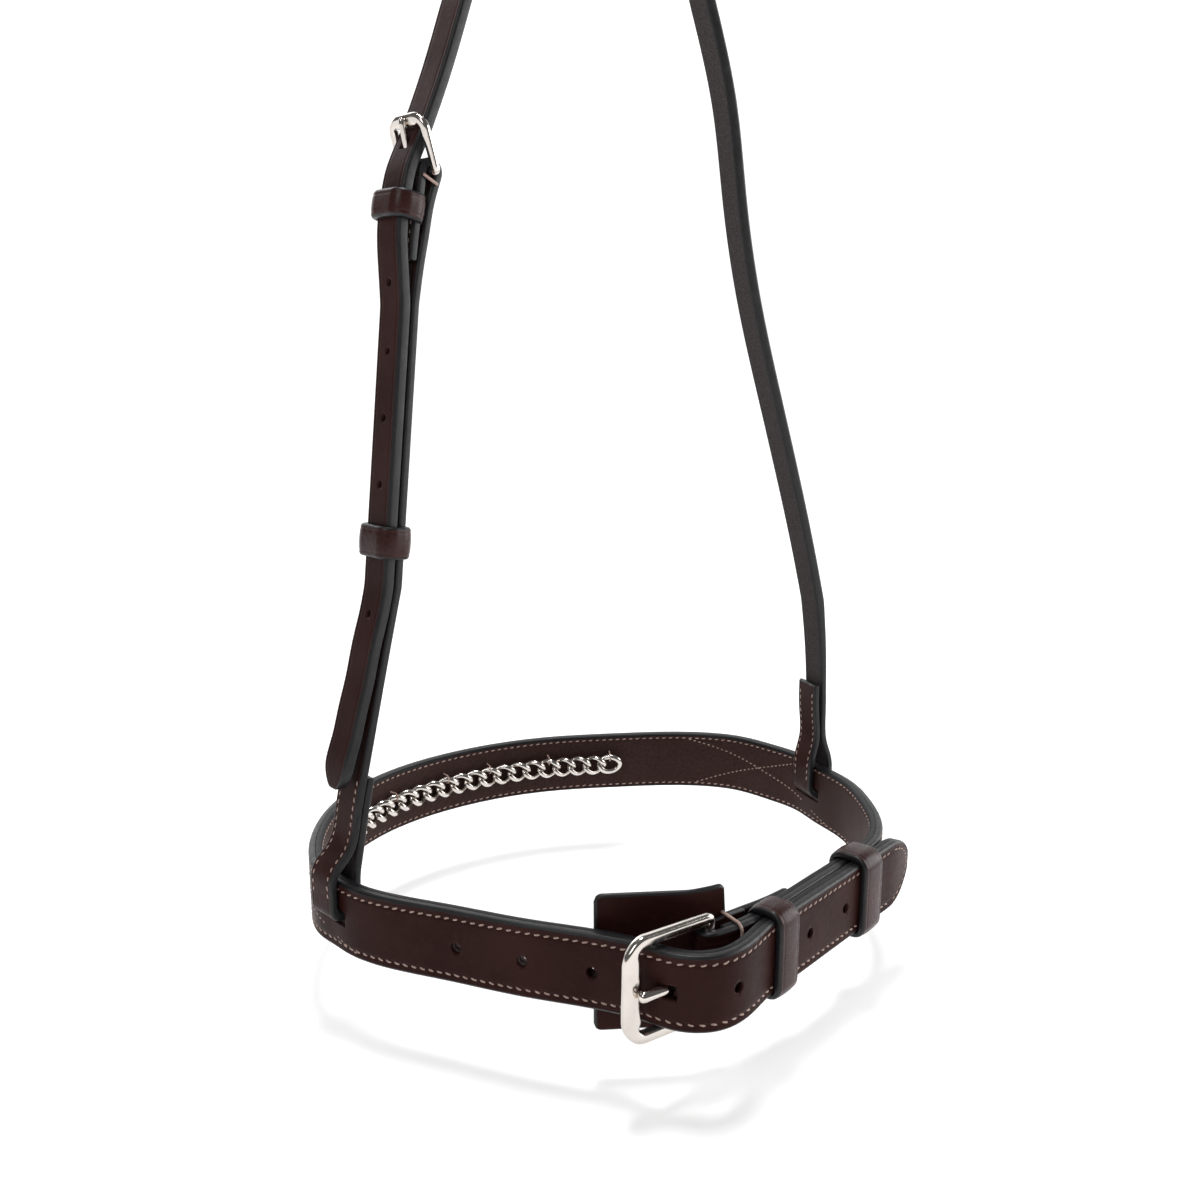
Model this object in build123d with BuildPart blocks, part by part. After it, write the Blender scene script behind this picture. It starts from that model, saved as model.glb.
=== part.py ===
"""Bitless hackamore: a chain-lined leather noseband hung from a headpiece that buckles at the cheek.

Frame: the origin is the middle of the crown strap's underside, where it lies over the horse's poll.
+Z is up, +Y points to the nose, -Y to the chin, and -X is the horse's near side, with the cheek buckle.
Lengths are in millimetres.
"""

import os
from math import cos, radians, sin

from build123d import *

# Noseband
BAND_HEIGHT = 26.0
PLY = 2.5
PLY_GAP = 0.02
STRAP_GAP = 0.2
SLOPE = radians(18.5)
HOLE_PITCH = 23.5
HOLE_RADIUS = 1.9
TIP_ROUND = 10.0

# Headpiece straps
STRAP_WIDTH = 13.0
CROWN_THICK = 4.2
CHEEK_THICK = 2.9
LOOP_THICK = 2.6
LOOP_AWAY = 4.8
LOOP_BEND = 2.4
SLIT_LENGTH = 17.5
SLIT_HEIGHT = 5.4
LEAN = 0.1165
CHEEK_HOLE_PITCH = 22.0
CHEEK_HOLE_RADIUS = 1.4

# Where things are: the noseband's middle below the crown, and the two cheek loops on it
RING_X = 3.0
RING_Y = -19.0
BAND_DROP = 408.0
NEAR_LOOP = Vector(-111.0, -2.85)
FAR_LOOP = Vector(106.6, 1.0)
NEAR_TURN = radians(14)
FAR_TURN = radians(7)

# Noseband buckle
HEEL = Vector(-21.0, -99.0)
HEEL_RADIUS = 2.0
FIT = 0.1

# Cheek buckle, in the near cheek's own plane
CHEEK_HEEL = Vector(45.2, 248.5)
CHEEK_FRONT = Vector(40.5, 264.2)
CHEEK_HEEL_RADIUS = 1.5

# Keepers
KEEPER_WALL = 2.3
KEEPER_WIDTH = 12.5
RUN_ROOM = 0.35

# Buckle guard
GUARD_THICK = 2.4
GUARD_HEIGHT = 46.0

# Chain
LINKS = 20
LINK_PITCH = 7.25
LINK_WIRE = 1.05
LINK_HALF = 4.9
LINK_RISE = 3.6
LINK_TWIST = radians(52)
CHAIN_AWAY = 5.15
CHAIN_START = 190.0
THREAD = 0.45

BAND = Plane(origin=(RING_X, RING_Y, -BAND_DROP))
ALONG = Vector(cos(SLOPE), sin(SLOPE))
ACROSS = Vector(sin(SLOPE), -cos(SLOPE))
INTERFACE = Vector(6.38, -98.97)


def cheek_plane(loop, inward):
    """The upright plane of a cheek: x runs inward from its loop, y runs up from the band's middle."""
    return Plane(origin=BAND.from_local_coords(loop), x_dir=inward, z_dir=inward.cross(Vector(0, 0, 1)))


NEAR = cheek_plane(NEAR_LOOP, Vector(cos(NEAR_TURN), sin(NEAR_TURN)))
FAR = cheek_plane(FAR_LOOP, Vector(-cos(FAR_TURN), sin(FAR_TURN)))


os.makedirs("parts", exist_ok=True)


def save(part, name):
    """Label a finished piece and write it."""
    part.label = name
    export_step(part, f"parts/{name}.step")


def shifted(edges, first, last):
    """Draw a chain of edges again, to the right of itself, by a distance that goes from first to last."""
    total = sum(edge.length for edge in edges)
    joints = [((one % 1) + (two % 0)).normalized() for one, two in zip(edges, edges[1:])]
    joints = [edges[0] % 0, *joints, edges[-1] % 1]
    done = 0.0
    curves = []
    for number, edge in enumerate(edges):
        steps = 1 if edge.geom_type == GeomType.LINE else max(5, round(edge.length / 9))
        tangents = [edge % (i / steps) for i in range(steps + 1)]
        tangents[0] = joints[number]
        tangents[-1] = joints[number + 1]
        points = []
        for i, tangent in enumerate(tangents):
            shift = first + (last - first) * (done + edge.length * i / steps) / total
            points.append(edge @ (i / steps) + Vector(tangent.Y, -tangent.X) * shift)
        if steps == 1:
            curves.append(Line(*points))
        elif edge.geom_type == GeomType.CIRCLE and first == last:
            middle = edge % 0.5
            curves.append(ThreePointArc(
                points[0],
                edge @ 0.5 + Vector(middle.Y, -middle.X) * first,
                points[-1],
            ))
        else:
            curves.append(Spline(*points))
        done += edge.length
    return curves


def strip(edges, left, right):
    """Outline the strip between two offsets of a chain of edges. Each offset is one number or (first, last)."""
    left = left if isinstance(left, tuple) else (left, left)
    right = right if isinstance(right, tuple) else (right, right)
    with BuildLine() as outline:
        one = shifted(edges, *left)
        two = shifted(edges, *right)
        Line(one[0] @ 0, two[0] @ 0)
        Line(one[-1] @ 1, two[-1] @ 1)
    return outline.edges()


def on_line(t, away=0.0):
    """A point of the straight stretch at the chin: t along it, and away outward from the straps' interface."""
    return INTERFACE + ALONG * t + ACROSS * away


# ---------------------------------------------------------------- lines the leather follows
GUIDE_AWAY = PLY + STRAP_GAP / 2
inner_start = on_line(-0.5, -GUIDE_AWAY)
inner_end = on_line(60.5, -GUIDE_AWAY)
outer_start = on_line(-5.0, GUIDE_AWAY)
outer_end = on_line(66.5, GUIDE_AWAY)
WRAP = HEEL_RADIUS + FIT
FAR_FLAT = Vector(sin(FAR_TURN), cos(FAR_TURN)) * 8
NEAR_FLAT = Vector(-sin(NEAR_TURN), cos(NEAR_TURN)) * 8

with BuildLine() as chape_line:
    turn_back = Line((-3.5, -95.4), (HEEL.X, HEEL.Y + WRAP))
    wrap = CenterArc((HEEL.X, HEEL.Y), WRAP, 90, 180)
    lead = Line(wrap @ 1, (HEEL.X + 4.2, HEEL.Y - WRAP))
with BuildLine() as band_line:
    chape = Spline(lead @ 1, (-11, -100.9), on_line(-10.0, -GUIDE_AWAY),
                   on_line(-5.0, -GUIDE_AWAY), inner_start)
    inner_run = Line(inner_start, inner_end)
    ring = Spline(
        inner_end, on_line(64.0, -GUIDE_AWAY),
        (80, -67), (96.3, -43.3), (104.3, -21.8),
        FAR_LOOP - FAR_FLAT, FAR_LOOP, FAR_LOOP + FAR_FLAT,
        (104.6, 27), (98, 45.5), (85.5, 58.8), (52.5, 76.4), (16.5, 89.4), (-23.4, 92), (-57, 84),
        (-85.2, 65.5), (-103.5, 40), (-111.3, 20),
        NEAR_LOOP + NEAR_FLAT, NEAR_LOOP, NEAR_LOOP - NEAR_FLAT,
        (-87.6, -43), (-69.4, -65.6), (-51.4, -85.3),
        (-42.4, -98.2), (-38, -106), (-27.4, -112.6), (-13.2, -109.9),
        on_line(-9.0, GUIDE_AWAY), outer_start,
    )
    outer_run = Line(outer_start, outer_end)
    point = Spline(outer_end, on_line(70.0, GUIDE_AWAY), (81, -76), (90.5, -70.8))

outer_edges = [turn_back, wrap, lead, chape, inner_run, ring, outer_run, point]
lining_edges = [chape, inner_run, ring, outer_run, point]

# The tongue lies on the frame's outer side and goes through the strap at a hole in the ring's last bend
FRONT = Vector(-51.0, -101.2)
frame_dir = (FRONT - HEEL).normalized()
frame_out = Vector(-frame_dir.Y, frame_dir.X)
BUCKLE = Plane(origin=BAND.from_local_coords(HEEL), x_dir=frame_dir, z_dir=frame_out)
PRONG_HOLE = Vector(-40.4, -102.6)


def band_hole(edge, distance):
    """The plane of a round hole: its z axis goes through the strap."""
    spot = edge.position_at(distance, position_mode=PositionMode.LENGTH)
    tangent = edge.tangent_at(distance, position_mode=PositionMode.LENGTH)
    return Plane(origin=BAND.from_local_coords(spot), x_dir=(0, 0, 1), z_dir=(tangent.Y, -tangent.X, 0))


def round_end(facing, width, radius):
    """Round the corners of a strap's end. The plane faces the strap at its tip, with x toward the tip."""
    with BuildSketch(facing) as corners:
        Rectangle(2 * radius, width + 2)
        with Locations((-2 * radius, 0)):
            RectangleRounded(4 * radius, width, radius * 0.98, mode=Mode.SUBTRACT)
    extrude(corners.sketch, amount=6, both=True, mode=Mode.SUBTRACT)


def cut_noseband():
    """Cut what goes through both plies: slits, holes, the prong's slot and the rounded point."""
    for plane, loop in ((NEAR, NEAR_LOOP), (FAR, FAR_LOOP)):
        with Locations(plane):
            Box(16, SLIT_HEIGHT, SLIT_LENGTH, mode=Mode.SUBTRACT)
    prong_slot = BAND.from_local_coords(PRONG_HOLE + frame_out * 0.6)
    with Locations(Plane(origin=prong_slot, x_dir=frame_dir, z_dir=(0, 0, 1))):
        Box(14, 7.4, 4.4, mode=Mode.SUBTRACT)
    spots = [band_hole(ring, prong_at + HOLE_PITCH * k) for k in (-3, -2, -1, 1)]
    spots += [band_hole(outer_run, 18.2 + HOLE_PITCH * k) for k in (0, 1)]
    with Locations(*spots):
        Cylinder(HOLE_RADIUS, 3 * PLY, mode=Mode.SUBTRACT)
    heading = point % 1
    round_end(
        Plane(
            origin=BAND.from_local_coords(point @ 1),
            x_dir=(heading.X, heading.Y, 0),
            z_dir=(heading.Y, -heading.X, 0),
        ),
        BAND_HEIGHT,
        TIP_ROUND,
    )


prong_at = ring.length - 48.5

outer_outline = strip(outer_edges, 0.0, PLY)
lining_outline = strip(lining_edges, -PLY, -PLY_GAP)

with BuildPart() as noseband_outer:
    with BuildSketch(BAND):
        make_face(outer_outline)
    extrude(amount=BAND_HEIGHT / 2, both=True)
    cut_noseband()
    with Locations(BUCKLE):
        Box(13, 5.6, 9.4, mode=Mode.SUBTRACT)
save(noseband_outer.part, "noseband_outer")

with BuildPart() as noseband_lining:
    with BuildSketch(BAND):
        make_face(lining_outline)
    extrude(amount=BAND_HEIGHT / 2, both=True)
    cut_noseband()
save(noseband_lining.part, "noseband_lining")

# ---------------------------------------------------------------- buckle guard
guard_end = Vector(21, -87.3)
with BuildLine() as guard_line:
    guard_plate = Line((-53.5, -76.9), (-23, -91.1))
    Spline(guard_plate @ 1, (-13, -92.2), (-3.5, -91.4), (9.4, -89.9), guard_end)
guard_outline = strip(guard_line.edges(), -GUARD_THICK / 2, GUARD_THICK / 2)

with BuildPart() as buckle_guard:
    with BuildSketch(BAND):
        make_face(guard_outline)
    extrude(amount=GUARD_HEIGHT / 2, both=True)
    with BuildSketch(Plane(origin=BAND.origin, x_dir=(1, 0, 0), z_dir=(0, -1, 0))):
        with Locations((-33, 0)):
            RectangleRounded(41, GUARD_HEIGHT, 5)
        with Locations((1, 0)):
            Rectangle(42, BAND_HEIGHT - 2)
    extrude(amount=120, mode=Mode.INTERSECT)
save(buckle_guard.part, "buckle_guard")


# ---------------------------------------------------------------- buckles
def frame_shape(plane, reach, inside, side, front, thick, heel_radius):
    """A buckle frame: x runs from the heel bar to the front bar, y along the bars."""
    low = -heel_radius - 0.4
    high = reach + front / 2
    with BuildPart() as frame:
        with BuildSketch(plane):
            with Locations(((low + high) / 2, 0)):
                RectangleRounded(high - low, inside + 2 * side, side)
            with Locations(((low - 2 + reach - front / 2) / 2, 0)):
                Rectangle(reach - front / 2 - low + 2, inside, mode=Mode.SUBTRACT)
        extrude(amount=thick / 2, both=True)
        with Locations(plane * Rot(90, 0, 0)):
            Cylinder(heel_radius, inside + side)
    return frame.part


def tongue_shape(plane, reach, lift, radius, heel_radius, width):
    """A tongue: a ring on the heel bar and a round shank that lies on the front bar's outer side."""
    eye = heel_radius + 0.07
    with BuildPart() as tongue:
        with Locations(plane * Rot(90, 0, 0)):
            Cylinder(eye + 1.3, width)
        with Locations(plane * Pos(reach / 2, 0, lift) * Rot(0, 90, 0)):
            Cylinder(radius, reach)
        with Locations(plane * Pos(reach, 0, lift)):
            Sphere(radius)
        with Locations(plane * Rot(90, 0, 0)):
            Cylinder(eye, width + 1, mode=Mode.SUBTRACT)
    return tongue.part


reach = (FRONT - HEEL).length
save(frame_shape(BUCKLE, reach, 28.6, 3.4, 6.6, 2.6, HEEL_RADIUS), "noseband_buckle_frame")
save(tongue_shape(BUCKLE, reach + 2, 2.85, 1.45, HEEL_RADIUS, 4.2), "noseband_buckle_tongue")

cheek_dir = (CHEEK_FRONT - CHEEK_HEEL).normalized()
cheek_reach = (CHEEK_FRONT - CHEEK_HEEL).length
cheek_up = NEAR.x_dir * cheek_dir.X + NEAR.y_dir * cheek_dir.Y
CHEEK_BUCKLE = Plane(
    origin=NEAR.from_local_coords(CHEEK_HEEL),
    x_dir=cheek_up,
    z_dir=NEAR.z_dir.cross(cheek_up),
)
save(frame_shape(CHEEK_BUCKLE, cheek_reach, 14.6, 2.6, 2.6, 2.4, CHEEK_HEEL_RADIUS), "cheek_buckle_frame")
save(tongue_shape(CHEEK_BUCKLE, cheek_reach + 1.2, 2.4, 1.1, CHEEK_HEEL_RADIUS, 3.0), "cheek_buckle_tongue")


# ---------------------------------------------------------------- keepers
def keeper_shape(plane, low, high, inner_wall, height, width):
    """A closed loop round two straps: x runs outward through them, y across their width."""
    with BuildPart() as keeper:
        with BuildSketch(plane):
            with Locations(((low - inner_wall + high + KEEPER_WALL) / 2, 0)):
                RectangleRounded(high - low + inner_wall + KEEPER_WALL, height + 2 * KEEPER_WALL, 2.8)
            with Locations(((low + high) / 2, 0)):
                RectangleRounded(high - low, height, 0.8, mode=Mode.SUBTRACT)
        extrude(amount=width / 2, both=True)
    return keeper.part


def chin_plane(t):
    """A cross-section of the chin straps, t along them: x runs outward, y up."""
    return Plane(
        origin=BAND.from_local_coords(on_line(t)),
        x_dir=(ACROSS.X, ACROSS.Y, 0),
        z_dir=(-ALONG.X, -ALONG.Y, 0),
    )


PAIR = 2 * PLY + STRAP_GAP / 2
save(
    keeper_shape(chin_plane(-3.0), -PAIR - 0.2, PAIR + 0.2, 0.95, BAND_HEIGHT + 0.6, KEEPER_WIDTH),
    "noseband_fixed_keeper",
)
save(
    keeper_shape(chin_plane(52.2), -PAIR - RUN_ROOM, PAIR + RUN_ROOM, KEEPER_WALL,
                 BAND_HEIGHT + 2 * RUN_ROOM, KEEPER_WIDTH),
    "noseband_running_keeper",
)


def near_section(spot, lean):
    """A cross-section of the near cheek's straps: x runs outward, y across; lean is the inward slope."""
    along = (NEAR.x_dir * lean + NEAR.y_dir).normalized()
    outward = (NEAR.y_dir * lean - NEAR.x_dir).normalized()
    return Plane(origin=NEAR.from_local_coords(spot), x_dir=outward, z_dir=along)


save(
    keeper_shape(near_section((36.5, 237), 0.19), -4.97, 4.5, 0.6, STRAP_WIDTH + 0.6, 9.0),
    "cheek_fixed_keeper",
)
save(
    keeper_shape(near_section((26.46, 127.4), LEAN), -3.05 - RUN_ROOM, 4.35 + RUN_ROOM, 2.0,
                 STRAP_WIDTH + 2 * RUN_ROOM, 11.0),
    "cheek_running_keeper",
)


# ---------------------------------------------------------------- headpiece straps
def cheek_x(y, away=0.0):
    """Where the near cheek's two straps meet on their straight stretch, and away inward from there."""
    return 24.9 + LEAN * (y - 114) + away


def slit_loop():
    """The strap's path through a slit: down the outside, inward through the slit, and up the inside."""
    down = Line((-LOOP_AWAY, 9), (-LOOP_AWAY, LOOP_BEND))
    turn_in = CenterArc((LOOP_BEND - LOOP_AWAY, LOOP_BEND), LOOP_BEND, 180, 90)
    through = Line(turn_in @ 1, (LOOP_AWAY - LOOP_BEND, 0))
    turn_up = CenterArc((LOOP_AWAY - LOOP_BEND, LOOP_BEND), LOOP_BEND, 270, 90)
    up = Line(turn_up @ 1, (LOOP_AWAY, 9))
    return [down, turn_in, through, turn_up, up]


cheek_wrap = CHEEK_HEEL_RADIUS + FIT + CHEEK_THICK / 2
cheek_arc = CenterArc((CHEEK_HEEL.X, CHEEK_HEEL.Y), cheek_wrap, 170, -194)
cheek_edges = [
    Spline((36.9, 220), (38.5, 229.7), (40.0, 237), (41.3, 243.5),
           cheek_arc @ 0),
    cheek_arc,
    Spline(cheek_arc @ 1, (45.5, 241), (44.2, 237), (42.5, 229.8), (40.1, 220),
           (cheek_x(206, 1.6), 206)),
    Line((cheek_x(206, 1.6), 206), (cheek_x(112, 1.6), 112)),
    Spline((cheek_x(112, 1.6), 112), (20.9, 92), (12.6, 60), (9.2, 47), (6.2, 34.8), (3.8, 25),
           (0.9, 20.6), (-2.4, 17.7), (-4.6, 14), (-LOOP_AWAY, 9)),
    *slit_loop(),
    Spline((LOOP_AWAY, 9), (5.0, 13), (5.9, 18), (7.4, 25), (9.4, 34.8), (12.4, 47)),
]
cheek_outline = strip(cheek_edges, -CHEEK_THICK / 2, CHEEK_THICK / 2)

with BuildPart() as cheek_strap:
    with BuildSketch(NEAR):
        make_face(cheek_outline)
    extrude(amount=STRAP_WIDTH / 2, both=True)
    with Locations(CHEEK_BUCKLE * Pos(1.1, 0, 0.8)):
        Box(9.0, 4.0, 8.4, mode=Mode.SUBTRACT)
save(cheek_strap.part, "cheek_strap")

near_low = Spline((2.4, 44), (3.9, 53.3), (6.8, 60.9), (9.7, 70.3), (13, 80), (16.6, 92.9), (20.0, 103),
                  (cheek_x(112, -2.25), 112))
near_straight = Line(near_low @ 1, (cheek_x(206, -2.25), 206))
near_top = Spline(near_straight @ 1, (33.1, 218), (33.2, 229.5), (35.7, 243), (37.0, 247.6), (41.5, 256.8),
                  (46.9, 267.8), (51.2, 277.2), (61.5, 302.9))
near_outline = strip([near_low, near_straight, near_top], -CROWN_THICK / 2, CROWN_THICK / 2)

far_top = Spline((61.3, 315.2), (51.7, 282.2), (46.2, 247.5), (38.6, 209.8), (27.5, 171.3), (15.1, 130),
                 (8.7, 107), (3.6, 87))
far_taper = Spline(far_top @ 1, (1.0, 64), (0.1, 50))
far_down = Spline(far_taper @ 1, (-0.4, 36), (-1.6, 23.5), (-3.5, 18.5), (-4.7, 14), (-LOOP_AWAY, 9))
far_inner = Spline((LOOP_AWAY, 9), (4.8, 13.5), (4.1, 18), (2.6, 23.5), (3.1, 36), (3.6, 50))
far_outlines = [
    strip([far_top], -CROWN_THICK / 2, CROWN_THICK / 2),
    strip([far_taper], (-CROWN_THICK / 2, -LOOP_THICK / 2), (CROWN_THICK / 2, LOOP_THICK / 2)),
    strip([far_down, *slit_loop(), far_inner], -LOOP_THICK / 2, LOOP_THICK / 2),
]


def tangent_in(plane, vector):
    """A direction of a cheek's plane, in the object's frame."""
    return plane.x_dir * vector.X + plane.y_dir * vector.Y


arch_from = NEAR.from_local_coords(near_top @ 1)
arch_to = FAR.from_local_coords(far_top @ 0)
arch_up = tangent_in(NEAR, near_top % 1)
arch_down = tangent_in(FAR, far_top % 0)
arch = Spline(arch_from, (-38.4, -4.6, -81), (-27.5, -2.2, -52.5), (-18, -0.6, -21),
              (0, 0, CROWN_THICK / 2),
              (20, -2.5, -15), (30, -6.3, -37.5), (39.1, -9.3, -63), arch_to)
ARCH_STEPS = 18
across_near = NEAR.z_dir
across_far = FAR.z_dir * -1

with BuildPart() as crown_arch:
    for i in range(ARCH_STEPS + 1):
        part_way = i / ARCH_STEPS
        heading = arch % part_way
        if i == 0:
            heading = arch_up
        if i == ARCH_STEPS:
            heading = arch_down
        width_dir = across_near * (1 - part_way) + across_far * part_way
        width_dir = width_dir - heading * width_dir.dot(heading)
        with BuildSketch(Plane(origin=arch @ part_way, x_dir=width_dir, z_dir=heading)):
            Rectangle(STRAP_WIDTH, CROWN_THICK)
    loft()

near_tip = near_low % 0
with BuildPart() as crown_strap:
    with BuildSketch(NEAR):
        make_face(near_outline)
    extrude(amount=STRAP_WIDTH / 2, both=True)
    round_end(
        Plane(
            origin=NEAR.from_local_coords(near_low @ 0),
            x_dir=tangent_in(NEAR, near_tip) * -1,
            z_dir=tangent_in(NEAR, Vector(-near_tip.Y, near_tip.X)),
        ),
        STRAP_WIDTH,
        5.5,
    )
    for i in range(6):
        height = 212.8 - CHEEK_HOLE_PITCH * i
        with Locations(near_section((cheek_x(height, -2.25), height), LEAN) * Rot(0, 90, 0)):
            Cylinder(CHEEK_HOLE_RADIUS, 3 * CROWN_THICK, mode=Mode.SUBTRACT)
    with Locations(CHEEK_BUCKLE * Pos(8.5, 0, 2.7)):
        Box(14, 3.2, 3.4, mode=Mode.SUBTRACT)
    with BuildSketch(FAR):
        for outline in far_outlines:
            make_face(outline)
    extrude(amount=STRAP_WIDTH / 2, both=True)
    add(crown_arch.part)
save(crown_strap.part, "crown_strap")


# ---------------------------------------------------------------- chain
def link_point(angle):
    """A point of a curb link's centre line: a ring twisted about the chain's own line."""
    twist = LINK_TWIST * cos(angle)
    return Vector(
        LINK_HALF * cos(angle),
        LINK_RISE * sin(angle) * cos(twist),
        LINK_RISE * sin(angle) * sin(twist),
    )


def link_shape():
    """One curb link, lofted in two halves: x along the chain, y up, z through it."""
    halves = []
    for start in (0, 180):
        with BuildPart() as half:
            for i in range(13):
                angle = radians(start + 15 * i)
                heading = (link_point(angle + 0.001) - link_point(angle - 0.001)).normalized()
                steady = Vector(0, 0, 1) - heading * heading.Z
                with BuildSketch(Plane(origin=link_point(angle), x_dir=steady, z_dir=heading)):
                    Circle(LINK_WIRE)
            loft()
        halves.append(half.part)
    with BuildPart() as link:
        add(halves)
    return link.part


def chain_place(number):
    """Where a link lies on the noseband's lining: x along the chain, y up, z into the leather."""
    spot = chain_line.position_at(CHAIN_START + LINK_PITCH * number, position_mode=PositionMode.LENGTH)
    tangent = chain_line.tangent_at(CHAIN_START + LINK_PITCH * number, position_mode=PositionMode.LENGTH)
    return Plane(
        origin=BAND.from_local_coords(spot),
        x_dir=(tangent.X, tangent.Y, 0),
        z_dir=(tangent.Y, -tangent.X, 0),
    )


chain_line = shifted([ring], -CHAIN_AWAY, -CHAIN_AWAY)[0]
one_link = link_shape()
for number in range(LINKS):
    with BuildPart() as chain_link:
        with Locations(chain_place(number)):
            add(one_link)
    save(chain_link.part, f"chain_link_{number + 1:02}")


# ---------------------------------------------------------------- threads
def staple(plane, points, bend, radius):
    """A round thread bent along points of a plane."""
    with BuildPart() as thread:
        with BuildLine(plane):
            bent = FilletPolyline(*points, radius=bend)
        with BuildSketch(Plane(origin=bent @ 0, z_dir=bent % 0)):
            Circle(radius)
        sweep()
    return thread.part


TIE = LINK_WIRE + THREAD + 0.3
TIE_ROOT = CHAIN_AWAY - PLY - 0.05
with BuildPart() as chain_threads:
    for number in (0, 4, 8, 11, 15, 19):
        place = chain_place(number)
        upright = Plane(origin=place.origin, x_dir=place.y_dir, z_dir=place.x_dir)
        add(staple(
            upright,
            [(LINK_RISE - TIE, -TIE_ROOT), (LINK_RISE - TIE, TIE), (LINK_RISE + TIE, TIE),
             (LINK_RISE + TIE, -TIE_ROOT)],
            TIE * 0.95,
            THREAD,
        ))
save(chain_threads.part, "chain_threads")

chape_upright = Plane(origin=(RING_X - 11.6, RING_Y, -BAND_DROP), x_dir=(0, 1, 0), z_dir=(1, 0, 0))
save(
    staple(chape_upright, [(-104.35, 9), (-104.35, 13.7), (-90.1, 13.7), (-90.1, 9)], 1.6, 0.55),
    "noseband_chape_thread",
)

thread_from = Vector(41.3, 247.2)
thread_to = Vector(46.8, 244.4)
thread_mid = NEAR.from_local_coords((thread_from + thread_to) * 0.5)
thread_dir = tangent_in(NEAR, (thread_to - thread_from).normalized())
with BuildPart() as cheek_chape_thread:
    for side in (-1, 1):
        origin = thread_mid + NEAR.z_dir * (side * (STRAP_WIDTH / 2 + 0.6))
        with Locations(Plane(origin=origin, x_dir=NEAR.z_dir, z_dir=thread_dir)):
            Cylinder(0.55, (thread_to - thread_from).length)
save(cheek_chape_thread.part, "cheek_chape_thread")
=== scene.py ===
"""Looks of the bitless hackamore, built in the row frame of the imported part.

Lengths are in millimetres until a mesh is made.
"""

from math import atan2, cos, pi, radians, sin, sqrt

import bmesh
import bpy
import numpy as np
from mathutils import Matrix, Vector


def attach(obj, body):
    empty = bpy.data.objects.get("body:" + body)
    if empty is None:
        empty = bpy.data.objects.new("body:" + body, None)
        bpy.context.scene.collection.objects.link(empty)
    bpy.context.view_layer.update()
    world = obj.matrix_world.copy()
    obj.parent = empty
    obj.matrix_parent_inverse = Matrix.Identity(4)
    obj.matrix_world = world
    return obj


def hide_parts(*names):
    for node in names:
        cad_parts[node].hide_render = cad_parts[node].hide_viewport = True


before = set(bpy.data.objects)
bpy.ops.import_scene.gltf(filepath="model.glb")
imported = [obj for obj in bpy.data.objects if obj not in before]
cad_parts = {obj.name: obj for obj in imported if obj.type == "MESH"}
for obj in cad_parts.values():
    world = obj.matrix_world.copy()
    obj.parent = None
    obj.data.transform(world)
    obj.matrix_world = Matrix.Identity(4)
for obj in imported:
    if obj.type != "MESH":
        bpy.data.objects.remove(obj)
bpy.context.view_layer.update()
MM = 0.001

# -------------------- sizes and places shared with the CAD part
BAND_HEIGHT = 26.0
PLY = 2.5
RING = np.array([3.0, -19.0, -408.0])
SLOPE = radians(18.5)
ALONG = np.array([cos(SLOPE), sin(SLOPE)])
ACROSS = np.array([sin(SLOPE), -cos(SLOPE)])
INTERFACE = np.array([6.38, -98.97])
GUIDE_AWAY = 2.6
HEEL = np.array([-21.0, -99.0])
FRONT = np.array([-51.0, -101.2])
NEAR_LOOP = np.array([-111.0, -2.85])
FAR_LOOP = np.array([106.6, 1.0])
NEAR_TURN = radians(14)
FAR_TURN = radians(7)
LEAN = 0.1165
CHEEK_HEEL = np.array([45.2, 248.5])
CHEEK_FRONT = np.array([40.5, 264.2])
WIDTH = 13.0
UP = np.array([0.0, 0.0, 1.0])
HOLE_PITCH = 23.5
SLIT_SIZE = (16, 5.4, 17.5)
PRONG = np.array([-40.4, -102.6])
NOSEBAND_HEEL, CHEEK_BUCKLE_HEEL = 2.0, 1.5
CHEEK_THICK = 2.9
CROWN_THICK = 4.2
GUARD_THICK = 2.4
LINK_PITCH = 7.25
LINK_RISE = 3.6
CHAIN_START = 190.0
# the curve of the straps' egg-shaped ends, and how long the billet's end is
EGG = 1.75
TIP = 18.0
EDGE_BLACK = (0.0085, 0.0085, 0.0098)


# -------------------- curves
def unit(v):
    v = np.asarray(v, float)
    return v / np.linalg.norm(v, axis=-1, keepdims=True)


def spline(points, step=0.5):
    """A smooth curve through points, as close samples."""
    p = np.array(points, float)
    n = len(p)
    t = np.concatenate([[0], np.cumsum(np.linalg.norm(np.diff(p, axis=0), axis=1))])
    h = np.diff(t)
    system = np.eye(n)
    right = np.zeros_like(p)
    for i in range(1, n - 1):
        system[i, i - 1 : i + 2] = h[i - 1], 2 * (h[i - 1] + h[i]), h[i]
        right[i] = 6 * ((p[i + 1] - p[i]) / h[i] - (p[i] - p[i - 1]) / h[i - 1])
    m = np.linalg.solve(system, right)
    x = np.linspace(0, t[-1], max(3, int(t[-1] / step)))
    k = np.clip(np.searchsorted(t, x) - 1, 0, n - 2)
    a = (t[k + 1] - x)[:, None]
    b = (x - t[k])[:, None]
    hk = h[k][:, None]
    return (
        m[k] * a**3 / (6 * hk)
        + m[k + 1] * b**3 / (6 * hk)
        + (p[k] / hk - m[k] * hk / 6) * a
        + (p[k + 1] / hk - m[k + 1] * hk / 6) * b
    )


def line(a, b):
    a = np.asarray(a, float)
    b = np.asarray(b, float)
    n = max(2, int(np.linalg.norm(b - a) / 0.5))
    return a + (b - a) * np.linspace(0, 1, n)[:, None]


def arc(centre, radius, start, sweep):
    angles = np.radians(start + sweep * np.linspace(0, 1, max(8, int(abs(sweep) / 4))))
    return np.asarray(centre) + radius * np.stack([np.cos(angles), np.sin(angles)], 1)


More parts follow.
